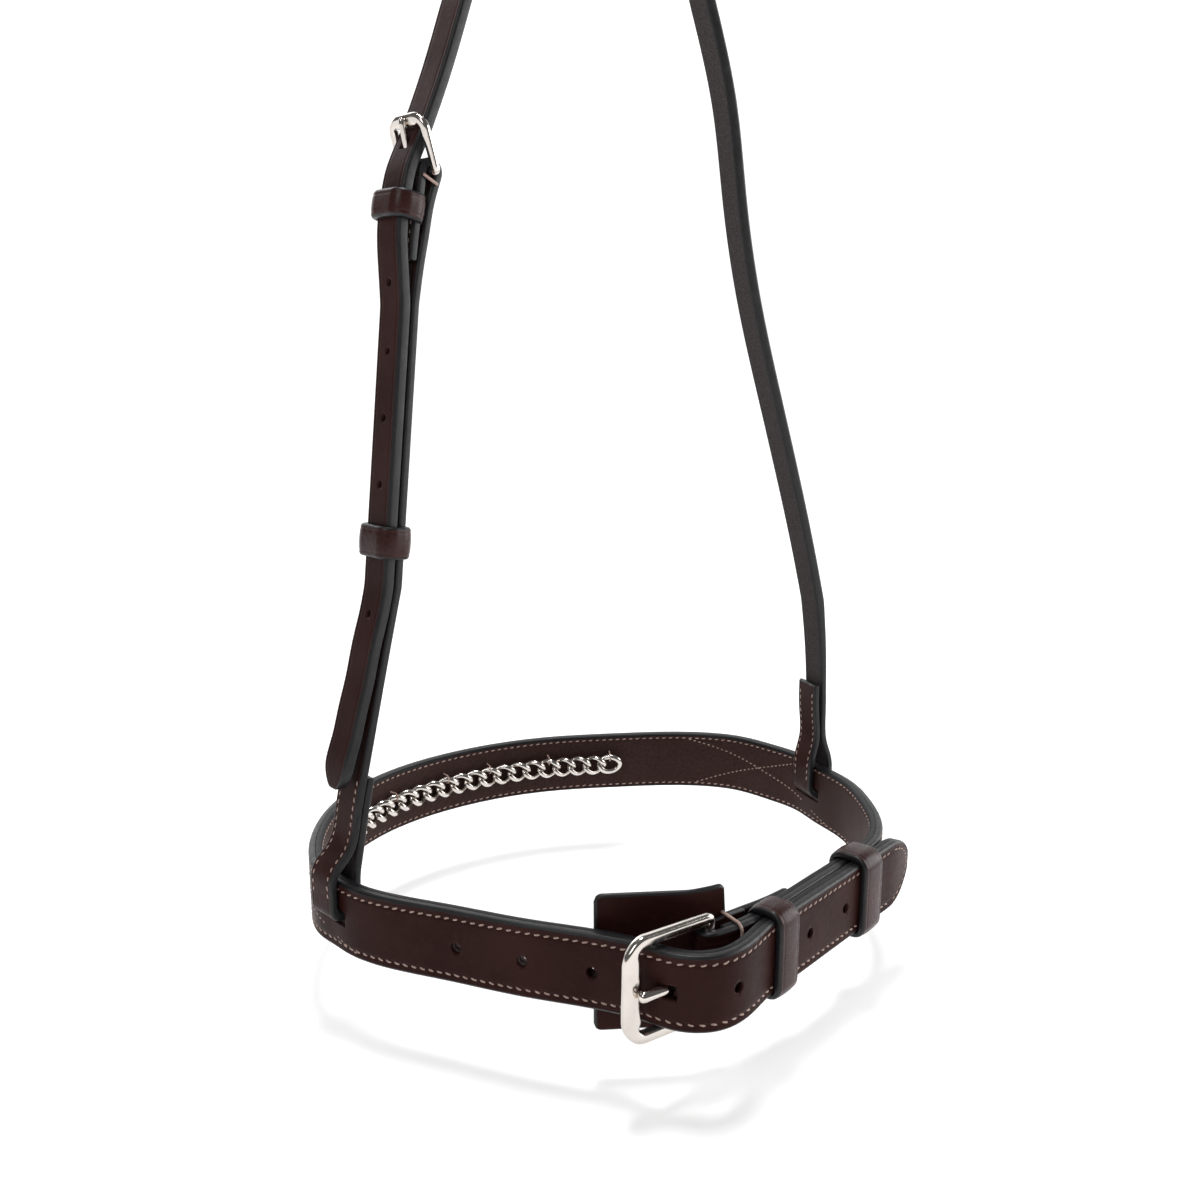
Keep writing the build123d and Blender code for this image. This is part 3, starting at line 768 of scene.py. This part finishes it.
# -------------------- buckle guard
guard_line = chain(
    line((-50.9, -78.1), (-23, -91.1)),
    spline([(-23, -91.1), (-13, -92.2), (-3.5, -91.4), (9.4, -89.9), (21, -87.3)]),
    soften=6,
)
plate_end = nearest(guard_line, (-10.4, -92.2))


def guard_mesh():
    """The guard: a plate with rounded corners that narrows to a tail."""
    plate_half, corner_size, tail_half, drop_plate, edge_round = 24.0, 2.6, 12.0, 1.0, 1.1
    d = lengths(guard_line)
    side = right_of(tangents(guard_line))
    rows, columns = len(d), 41
    across = np.linspace(-1, 1, columns)
    across = np.sign(across) * (1 - (1 - np.abs(across)) ** 1.25)
    half = np.full(rows, tail_half)
    for i, x in enumerate(d):
        if x < plate_end:
            room = min(x, plate_end - x, corner_size)
            taken = corner_size - sqrt(max(corner_size**2 - (corner_size - room) ** 2, 0.0))
            half[i] = max(plate_half - taken, tail_half)
    tip = d[-1] - d
    half = np.where(tip < 3, 9.0 + 3.0 * np.sqrt(np.clip(1 - (1 - tip / 3) ** 2, 0, 1)), half)
    verts = []
    edge = []
    for face in (1, -1):
        for i in range(rows):
            is_plate = half[i] > tail_half + 0.01
            for a in across:
                corner = min(half[i] * (1 - abs(a)), d[i], d[-1] - d[i])
                if is_plate and d[i] < plate_end and abs(a) * half[i] > tail_half:
                    corner = min(corner, plate_end - d[i])
                drop = edge_round - sqrt(max(edge_round**2 - max(edge_round - corner, 0) ** 2, 0.0))
                p = guard_line[i] + side[i] * face * (GUARD_THICK / 2 - drop)
                verts.append(BAND.at(p, a * half[i] - (drop_plate if is_plate else 0.0))[0])
                edge.append(1.0 if corner < 0.95 else 0.0)
    size = rows * columns
    faces = []
    for i in range(rows - 1):
        for j in range(columns - 1):
            a, b = i * columns + j, i * columns + j + 1
            c, e = a + columns, b + columns
            faces.append((a, b, e, c))
            faces.append((size + a, size + c, size + e, size + b))
    loop = [i * columns for i in range(rows)]
    loop += [(rows - 1) * columns + j for j in range(1, columns)]
    loop += [i * columns + columns - 1 for i in range(rows - 2, -1, -1)]
    loop += [j for j in range(columns - 2, 0, -1)]
    for a, b in zip(loop, loop[1:] + loop[:1]):
        faces.append((a, size + a, size + b, b))
    attributes = {"edge": edge, "back": np.zeros(len(verts))}
    return face_outward(make("buckle_guard_leather", verts, faces, GRAIN, attributes), 0.00002)


settle(guard_mesh(), "noseband", "buckle_guard")


# -------------------- buckles
def super_ring(half_x, half_y, corner, count, heel_corner=None):
    """Points of a rounded rectangle, evenly spaced."""
    points = []
    for cx, cy, start in ((1, 1, 0), (-1, 1, 90), (-1, -1, 180), (1, -1, 270)):
        r = heel_corner if heel_corner and cx < 0 else corner
        points.append(arc((cx * (half_x - r), cy * (half_y - r)), r, start, 90))
    p = np.concatenate(points)
    p = np.concatenate([p, p[:1]])
    return resample(p, lengths(p)[-1] / count)[:-1]


def smooth_ring(values, kernel):
    """A running mean over values that close on themselves."""
    reach = kernel // 2
    closed = np.concatenate([values[-reach:], values, values[:reach]])
    return np.convolve(closed, np.ones(kernel) / kernel, "valid")


def buckle(name, flat, reach, inside, side, front, thick, heel, body, node):
    """A cast buckle: round heel bar, flat-backed side bars that swell to a broad, rounded front bar."""
    half_y = inside / 2 + side / 2
    points = super_ring(reach / 2, half_y, min(side * 1.25, reach / 3), 260, 1.0) + [reach / 2, 0]
    along = points[:, 0] / reach
    is_heel = np.clip((0.06 - along) / 0.06, 0, 1) * (np.abs(points[:, 1]) < half_y - side * 0.9)
    clear = (half_y - np.abs(points[:, 1]) - side * 0.75) / (side * 0.45)
    is_front = np.clip((along - 0.93) / 0.07, 0, 1) * np.clip(clear, 0, 1)
    width = side / 2 + (front / 2 - side / 2) * is_front
    width = width * (1 - is_heel) + heel * is_heel
    deep = thick / 2 * (1 - is_heel) + heel * is_heel
    width = smooth_ring(width, 9)
    deep = smooth_ring(deep, 9)
    outward = right_of(unit(np.roll(points, -1, 0) - np.roll(points, 1, 0)))
    sides = 24
    a = np.linspace(0, 2 * pi, sides, endpoint=False)
    square = 0.72
    ca = np.sign(np.cos(a)) * np.abs(np.cos(a)) ** square
    sa = np.sign(np.sin(a)) * np.abs(np.sin(a)) ** square
    verts = (
        flat.at(points)[:, None]
        + flat.way(outward)[:, None] * (ca[None, :, None] * width[:, None, None])
        + flat.z[None, None] * (sa[None, :, None] * deep[:, None, None])
    )
    obj = make(name, verts.reshape(-1, 3), grid_faces(len(points), sides, True).tolist(), NICKEL)
    return settle(obj, body, node)


def tongue(name, flat, reach, lift, radius, heel, width, body, node):
    """A tongue: wire that comes round the heel bar, with a flattened, bent shank."""
    eye = heel + 0.15 + radius * 0.78
    curl = arc((0, 0), eye, 88, 268)
    bend = (reach * 0.28, max(eye, lift) + 0.25)
    shank = spline([(0, eye), bend, (reach * 0.7, lift + 0.1), (reach, lift - 0.35)])
    points = chain(curl[::-1], shank, step=0.4, soften=3)
    d = lengths(points)
    r = radius * np.interp(d, [0, 1.2, d[-1] - 2.0, d[-1] - 0.6, d[-1]], [0.5, 0.8, 1.0, 0.85, 0.25])
    place = flat.o + points[:, :1] * flat.x + points[:, 1:2] * flat.z
    obj = tube(name, place, r, NICKEL, sides=20, squash=width / (2 * radius) * 0.75, normal=flat.z)
    return settle(obj, body, node)


reach = float(np.linalg.norm(FRONT - HEEL))
buckle("noseband_buckle", BUCKLE, reach, 28.4, 4.1, 6.8, 3.5, NOSEBAND_HEEL, "noseband_buckle",
       "noseband_buckle_frame")
tongue("noseband_buckle_prong", BUCKLE, reach - 0.4, 3.7, 2.05, NOSEBAND_HEEL, 5.2, "noseband_tongue",
       "noseband_buckle_tongue")
CHEEK_BUCKLE = Flat(NEAR.at(CHEEK_HEEL)[0], NEAR.way(unit(CHEEK_FRONT - CHEEK_HEEL))[0], -NEAR.z)
cheek_reach = float(np.linalg.norm(CHEEK_FRONT - CHEEK_HEEL))
buckle("cheek_buckle", CHEEK_BUCKLE, cheek_reach, 14.4, 2.9, 4.4, 2.7, CHEEK_BUCKLE_HEEL, "cheek_buckle",
       "cheek_buckle_frame")
tongue("cheek_buckle_prong", CHEEK_BUCKLE, cheek_reach + 1.4, 2.4, 1.1, CHEEK_BUCKLE_HEEL, 3.0,
       "cheek_tongue", "cheek_buckle_tongue")


# -------------------- keepers
def keeper(name, flat, low, high, inner_wall, height, width, body, node):
    """A leather loop: flat.x runs outward through the straps, flat.y across, flat.z along them."""
    wall = 2.3
    half_x = (high - low + inner_wall + wall) / 2
    centre_x = (low - inner_wall + high + wall) / 2
    half_y = height / 2 + wall
    outer = super_ring(half_x, half_y, min(5.2, half_x * 0.8), 150)
    inner = super_ring((high - low) / 2, height / 2, 0.9, 150)
    inner = inner + [(low + high) / 2 - centre_x, 0]
    pair = inner[[np.argmin(np.linalg.norm(inner - p, axis=1)) for p in outer]]
    pair = np.stack([smooth_ring(pair[:, i], 5) for i in range(2)], 1)
    half_w = width / 2
    rim, inner_rim = 0.9, 0.4

    def corner(is_outer, b, level, radius, angles):
        """A rounded, painted edge of the loop's section."""
        turns = [radians(angle) for angle in angles]
        return [(is_outer, b + radius * cos(turn), level + radius * sin(turn), 1.0) for turn in turns]

    shape = []
    for b in np.linspace(-half_w + rim, half_w - rim, 25):
        dip = -0.4 * (1 - (b / half_w) ** 2)
        for line_at in (-half_w + 1.8, half_w - 1.8):
            dip += 0.1 * np.exp(-(((b - line_at) / 0.3) ** 2))
        shape.append((1.0, b, -dip, 0.0))
    shape += corner(1.0, half_w - rim, -rim, rim, range(72, -1, -18))
    shape += corner(0.0, half_w - inner_rim, inner_rim, inner_rim, range(0, -91, -30))
    shape += [(0.0, b, 0.0, 0.0) for b in np.linspace(half_w - 0.5, -half_w + 0.5, 9)]
    shape += corner(0.0, inner_rim - half_w, inner_rim, inner_rim, range(-90, -181, -30))
    shape += corner(1.0, rim - half_w, -rim, rim, range(180, 107, -18))
    shape = np.array(shape)
    out_dir = unit(outer - pair + 1e-9)
    base = np.where(shape[None, :, 0, None] > 0.5, outer[:, None], pair[:, None])
    flat_points = base + out_dir[:, None] * shape[None, :, 2, None] + [centre_x, 0]
    verts = (
        flat.o
        + flat_points[..., :1] * flat.x
        + flat_points[..., 1:2] * flat.y
        + shape[None, :, 1, None] * flat.z
    )
    edge = np.repeat(shape[None, :, 3], len(outer), 0)
    obj = make(name, verts.reshape(-1, 3), grid_faces(len(outer), len(shape), True).tolist(), KEEPER_GRAIN,
               {"edge": edge.ravel(), "back": np.zeros(edge.size)})
    return settle(face_outward(obj), body, node)


def chin_flat(t):
    return Flat(BAND.at(on_line(t))[0], BAND.way(ACROSS)[0], UP)


def near_flat_at(spot, lean):
    along = unit(NEAR.x * lean + NEAR.y)
    outward = unit(NEAR.y * lean - NEAR.x)
    return Flat(NEAR.at(spot)[0], outward, np.cross(along, outward))


PAIR = 5.1
keeper("noseband_keeper_fixed", chin_flat(-3.0), -PAIR - 0.2, PAIR + 0.2, 0.95, BAND_HEIGHT + 0.6, 11.3,
       "noseband", "noseband_fixed_keeper")
keeper("noseband_keeper_running", chin_flat(52.2), -PAIR - 0.35, PAIR + 0.35, 2.3, BAND_HEIGHT + 0.7, 12.5,
       "noseband_keeper", "noseband_running_keeper")
keeper("cheek_keeper_fixed", near_flat_at((36.5, 237), 0.19), -4.97, 4.5, 0.6, WIDTH + 0.6, 9.0,
       "headpiece", "cheek_fixed_keeper")
keeper("cheek_keeper_running", near_flat_at((26.46, 127.4), LEAN), -3.4, 4.7, 2.0, WIDTH + 0.7, 11.0,
       "cheek_keeper", "cheek_running_keeper")


# -------------------- headpiece straps
def cheek_x(y, away=0.0):
    return 24.9 + LEAN * (y - 114) + away


def slit_loop():
    bend, away = 2.4, 4.8
    return [
        line((-away, 9), (-away, bend)),
        arc((bend - away, bend), bend, 180, 90),
        line((bend - away, 0), (away - bend, 0)),
        arc((away - bend, bend), bend, 270, 90),
        line((away, bend), (away, 9)),
    ]


def centred(frames, thick):
    """Move a path to a profile's bottom, so that the profile lies round the old path."""
    p, out, wide = frames
    return p - out * thick / 2, out, wide


wrap_radius = 1.6 + CHEEK_THICK / 2
wrap_arc = arc(CHEEK_HEEL, wrap_radius, 170, -194)
cheek_upper = [
    spline([(36.9, 220), (38.5, 229.7), (40.0, 237), (41.3, 243.5), wrap_arc[0]]),
    wrap_arc,
    spline([wrap_arc[-1], (45.5, 241), (44.2, 237), (42.5, 229.8), (40.1, 220), (cheek_x(206, 1.6), 206)]),
    line((cheek_x(206, 1.6), 206), (cheek_x(112, 1.6), 112)),
    spline([(cheek_x(112, 1.6), 112), (20.9, 92), (12.6, 60), (9.2, 47), (6.2, 34.8), (3.8, 25), (0.9, 20.6),
            (-2.4, 17.7), (-4.6, 14), (-4.8, 9)]),
    *slit_loop(),
    spline([(4.8, 9), (5.0, 13), (5.9, 18), (7.4, 25), (9.4, 34.8), (12.4, 47)]),
]
cheek_guide = chain(*cheek_upper, step=0.6, soften=3)
strap_shape = profile(CHEEK_THICK, WIDTH, 0.95, 0.6, crease=(1.7, 0.1, 0.3))
# the grain side faces outward on the hanging part, to the right of the path as it goes down
p, out, wide = centred(flat_frames(NEAR, cheek_guide), CHEEK_THICK)
cheek = strap("cheek_strap_leather", p, out, wide, strap_shape, STRAP_GRAIN)
cut(cheek, [block("wrap_cut", CHEEK_BUCKLE, (1.1, 0, 0.8), (9.0, 4.0, 8.4), STRAP_GRAIN)])
settle(cheek, "headpiece", "cheek_strap")

near_part = [
    spline([(2.4, 44), (3.9, 53.3), (6.8, 60.9), (9.7, 70.3), (13, 80), (16.6, 92.9), (20.0, 103),
            (cheek_x(112, -2.25), 112)]),
    line((cheek_x(112, -2.25), 112), (cheek_x(206, -2.25), 206)),
    spline([(cheek_x(206, -2.25), 206), (33.1, 218), (33.2, 229.5), (35.7, 243), (37.0, 247.6), (41.5, 256.8),
            (46.9, 267.8), (51.2, 277.2), (61.5, 302.9)]),
]
near_guide = chain(*near_part, step=0.8, soften=3)
far_guide = chain(
    spline([(61.3, 315.2), (51.7, 282.2), (46.2, 247.5), (38.6, 209.8), (27.5, 171.3), (15.1, 130),
            (8.7, 107), (3.6, 87)]),
    spline([(3.6, 87), (1.0, 64), (0.1, 50)]),
    spline([(0.1, 50), (-0.4, 36), (-1.6, 23.5), (-3.5, 18.5), (-4.7, 14), (-4.8, 9)]),
    *slit_loop(),
    spline([(4.8, 9), (4.8, 13.5), (4.1, 18), (2.6, 23.5), (3.1, 36), (3.6, 50)]),
    step=0.8,
    soften=3,
)
arch_path = spline([
    NEAR.at(near_guide[-1])[0], (-38.4, -4.6, -81), (-27.5, -2.2, -52.5), (-18, -0.6, -21), (0, 0, 2.1),
    (20, -2.5, -15), (30, -6.3, -37.5), (39.1, -9.3, -63), FAR.at(far_guide[0])[0],
])
near_3d = NEAR.at(near_guide)
far_3d = FAR.at(far_guide)
crown_path = np.concatenate([near_3d, arch_path[1:-1], far_3d])
share = np.linspace(0, 1, len(arch_path) - 2)[:, None]
width_dirs = np.concatenate([
    np.repeat(NEAR.z[None], len(near_3d), 0),
    NEAR.z * (1 - share) - FAR.z * share,
    np.repeat(-FAR.z[None], len(far_3d), 0),
])
joined = np.concatenate([crown_path, width_dirs], 1)
steps = lengths(crown_path)
even = np.linspace(0, steps[-1], int(steps[-1] / 0.8))
joined = np.stack([np.interp(even, steps, joined[:, i]) for i in range(6)], 1)
crown_path = joined[:, :3]
for _ in range(4):
    crown_path[1:-1] = (crown_path[:-2] + 2 * crown_path[1:-1] + crown_path[2:]) / 4
crown_t = tangents(crown_path)
crown_wide = joined[:, 3:]
crown_wide = unit(crown_wide - crown_t * np.sum(crown_wide * crown_t, 1, keepdims=True))
# away from the head
crown_out = np.cross(crown_wide, crown_t)
crown_len = lengths(crown_path)
thin_from = crown_len[-1] - lengths(far_guide)[-1] + nearest(far_guide, (3.6, 87))
thin_to = crown_len[-1] - lengths(far_guide)[-1] + nearest(far_guide, (0.1, 50))
crown_scale = np.interp(crown_len, [0, thin_from, thin_to], [1.0, 1.0, 2.6 / CROWN_THICK])
crown_shape = profile(CROWN_THICK, WIDTH, 1.15, 1.0, crease=(1.9, 0.1, 0.3))
crown = strap("crown_strap_leather", *centred((crown_path, crown_out, crown_wide), CROWN_THICK), crown_shape,
              STRAP_GRAIN, start_round=(6.2, 9.0), scale=crown_scale)
crown_cutters = []
for i in range(6):
    y = 212.8 - 22 * i
    spot = near_flat_at((cheek_x(y, -2.25), y), LEAN)
    crown_cutters.append(rod(f"crown_hole{i}", spot.o - spot.x * 7, spot.o + spot.x * 7, 1.4, STRAP_GRAIN))
crown_cutters.append(block("crown_slot", CHEEK_BUCKLE, (8.5, 0, 2.7), (14, 4.2, 3.6), STRAP_GRAIN))
cut(crown, crown_cutters)
settle(crown, "headpiece", "crown_strap")


# stitching on the near loop, the cheek chape and the far loop
def strap_rows(flat, guide, first, last, right):
    """Two rows of stitches along a narrow strap, one near each edge."""
    made = []
    for side in (1, -1):
        place = row(guide, flat, right, side * (WIDTH / 2 - 2.0), 2.9, first, last)
        made.append(stitches(*place, 2.0, 0.3, 12 * side, int(first) + side + 20))
    return made


main_low = nearest(cheek_guide, (-4.8, 5))
main_top = nearest(cheek_guide, (9.2, 47))
inner_low = nearest(cheek_guide, (4.8, 5))
cheek_total = lengths(cheek_guide)[-1]
far_total = lengths(far_guide)[-1]
far_low = nearest(far_guide, (-4.8, 5))
far_top = nearest(far_guide, (0.1, 50))
cheek_face, far_face = CHEEK_THICK / 2 - 0.06, 1.24
parts = strap_rows(NEAR, cheek_guide, main_top, main_low, cheek_face)
parts += strap_rows(NEAR, cheek_guide, inner_low + 6, cheek_total - 2, cheek_face)
parts += strap_rows(NEAR, cheek_guide, 2.0, 22.0, -cheek_face)
parts += strap_rows(FAR, far_guide, far_top, far_low, far_face)
parts += strap_rows(FAR, far_guide, far_total - 44, far_total - 1.5, far_face)
join("headpiece_stitches", parts, "headpiece")


# -------------------- chain
chain_line = offset(chain(lining_parts[2], step=0.5, soften=1), -5.15)


def link_flat(number):
    """The plane of a chain link: x along the chain, y up."""
    spot, way = at(chain_line, CHAIN_START + LINK_PITCH * number)
    return Flat(BAND.at(spot)[0], BAND.way(way)[0], UP)


for number in range(20):
    place = link_flat(number)
    t = np.linspace(0, 2 * pi, 96, endpoint=False)
    twist = radians(52 if number else 18) * np.cos(t)
    x, v = 4.9 * np.cos(t), LINK_RISE * np.sin(t)
    wire = place.at(np.stack([x, v * np.cos(twist)], 1), v * np.sin(twist))
    link = tube(f"link_{number + 1:02}", wire, 1.3, CHAIN, closed=True, sides=20, squash=0.85)
    settle(link, "noseband", f"chain_link_{number + 1:02}")


# -------------------- threads
tie, root = 1.8, 2.6
ties = []
for number in (0, 4, 8, 11, 15, 19):
    place = link_flat(number)
    half_loop = resample(np.concatenate([
        line((LINK_RISE - tie, -root), (LINK_RISE - tie, 0)),
        arc((LINK_RISE, 0), tie, 180, -180),
        line((LINK_RISE + tie, 0), (LINK_RISE + tie, -root)),
    ]), 0.3)
    wire = place.o + half_loop[:, :1] * place.y - half_loop[:, 1:] * place.z
    ties.append(tube("tie", wire, 0.3, THREAD, sides=10))
join("chain_ties", ties, "noseband", "chain_threads")

chape_flat = Flat(BAND.at((-11.6, 0))[0], (0, 1, 0), UP)
chape_loop = chain(
    line((-104.2, 8), (-104.2, 11.0)),
    arc((-101.7, 11.0), 2.5, 180, -90),
    line((-101.7, 13.5), (-93.6, 13.5)),
    arc((-93.6, 11.9), 1.6, 90, -90),
    line((-92.0, 11.9), (-92.0, 9)),
    step=0.3,
    soften=2,
)
chape_thread = tube("noseband_chape_stitch", chape_flat.at(chape_loop), 0.55, THREAD, sides=12)
settle(chape_thread, "noseband", "noseband_chape_thread")
bars = []
for side in (-1, 1):
    ends = NEAR.at([(41.3, 247.2), (46.8, 244.4)], side * (WIDTH / 2 + 0.6))
    bars.append(tube("bar", line(ends[0], ends[1]), 0.5, THREAD, sides=10))
join("cheek_chape_stitch", bars, "headpiece", "cheek_chape_thread")


# -------------------- stage
AZIMUTH, PITCH = radians(-30.24), radians(12.27)


def stage_material():
    """A white cove that glows with light of its own: painted light in place of a lit studio backdrop, weakest
    near the middle and stronger far off.
    """
    n = Nodes("studio_floor")
    soft = n.noise(3, 2)
    white = n.mix(n.ramp(soft, 0.3, 0.7), (0.86, 0.86, 0.86), (0.9, 0.9, 0.9))
    n.link(white, n.shader.inputs["Base Color"])
    n.link(white, n.shader.inputs["Emission Color"])
    # painted light: the cove's glow grows from 0.36 near the middle of the scene to 0.95 three metres away
    place = n.add("ShaderNodeVectorMath", operation="LENGTH")
    n.link(n.place, place.inputs[0])
    n.link(n.ramp(place.outputs["Value"], 0.5, 3.0, 0.36, 0.95), n.shader.inputs["Emission Strength"])
    n.shader.inputs["Roughness"].default_value = 0.9
    n.shader.inputs["Specular IOR Level"].default_value = 0.0
    return n.material


def floor():
    """A pale floor that curves up far behind, square to the camera."""
    points = resample(np.concatenate([
        line((-6000, 0), (4500, 0)),
        arc((4500, 3000), 3000, 270, 90),
        line((7500, 3000), (7500, 9000)),
    ]), 250)
    verts = []
    for x in (-20000, 20000):
        for y, z in points:
            verts.append((x * cos(AZIMUTH) - y * sin(AZIMUTH), x * sin(AZIMUTH) + y * cos(AZIMUTH), z - 450))
    n = len(points)
    faces = [(i, i + 1, n + i + 1, n + i) for i in range(n - 1)]
    make("studio", verts, faces, stage_material())


def area(name, place, target, size, power):
    """A square light that faces a point."""
    data = bpy.data.lights.new(name, "AREA")
    data.energy = power
    data.size = size
    obj = bpy.data.objects.new(name, data)
    obj.location = place
    obj.rotation_euler = (Vector(target) - Vector(place)).to_track_quat("-Z", "Y").to_euler()
    bpy.context.scene.collection.objects.link(obj)


floor()
MIDDLE = (0, 0, -0.3)
area("top", (0.05, 0.1, 1.1), (0, 0, -0.4), 0.3, 11)
area("key", (-1.1, -0.7, 0.7), MIDDLE, 0.7, 6)
area("side", (1.4, -0.6, 0.1), MIDDLE, 1.1, 18)
area("behind", (-0.2, 1.6, 0.9), MIDDLE, 1.2, 9)

world = bpy.data.worlds.new("studio")
bpy.context.scene.world = world
world.use_nodes = True
background = world.node_tree.nodes["Background"]
background.inputs["Color"].default_value = (1, 1, 1, 1)
background.inputs["Strength"].default_value = 0.12
bpy.context.scene.view_settings.view_transform = "Standard"

camera_data = bpy.data.cameras.new("camera")
camera_data.lens = 35
camera_data.sensor_width = 36
camera_data.clip_start = 0.01
camera_data.clip_end = 50
camera = bpy.data.objects.new("camera", camera_data)
bpy.context.scene.collection.objects.link(camera)
bpy.context.scene.camera = camera
camera.location = (-0.218, -0.393, -0.2155)
back = Vector((sin(AZIMUTH) * cos(PITCH), -cos(AZIMUTH) * cos(PITCH), sin(PITCH)))
camera.rotation_mode = "QUATERNION"
camera.rotation_quaternion = (-back).to_track_quat("-Z", "Y")
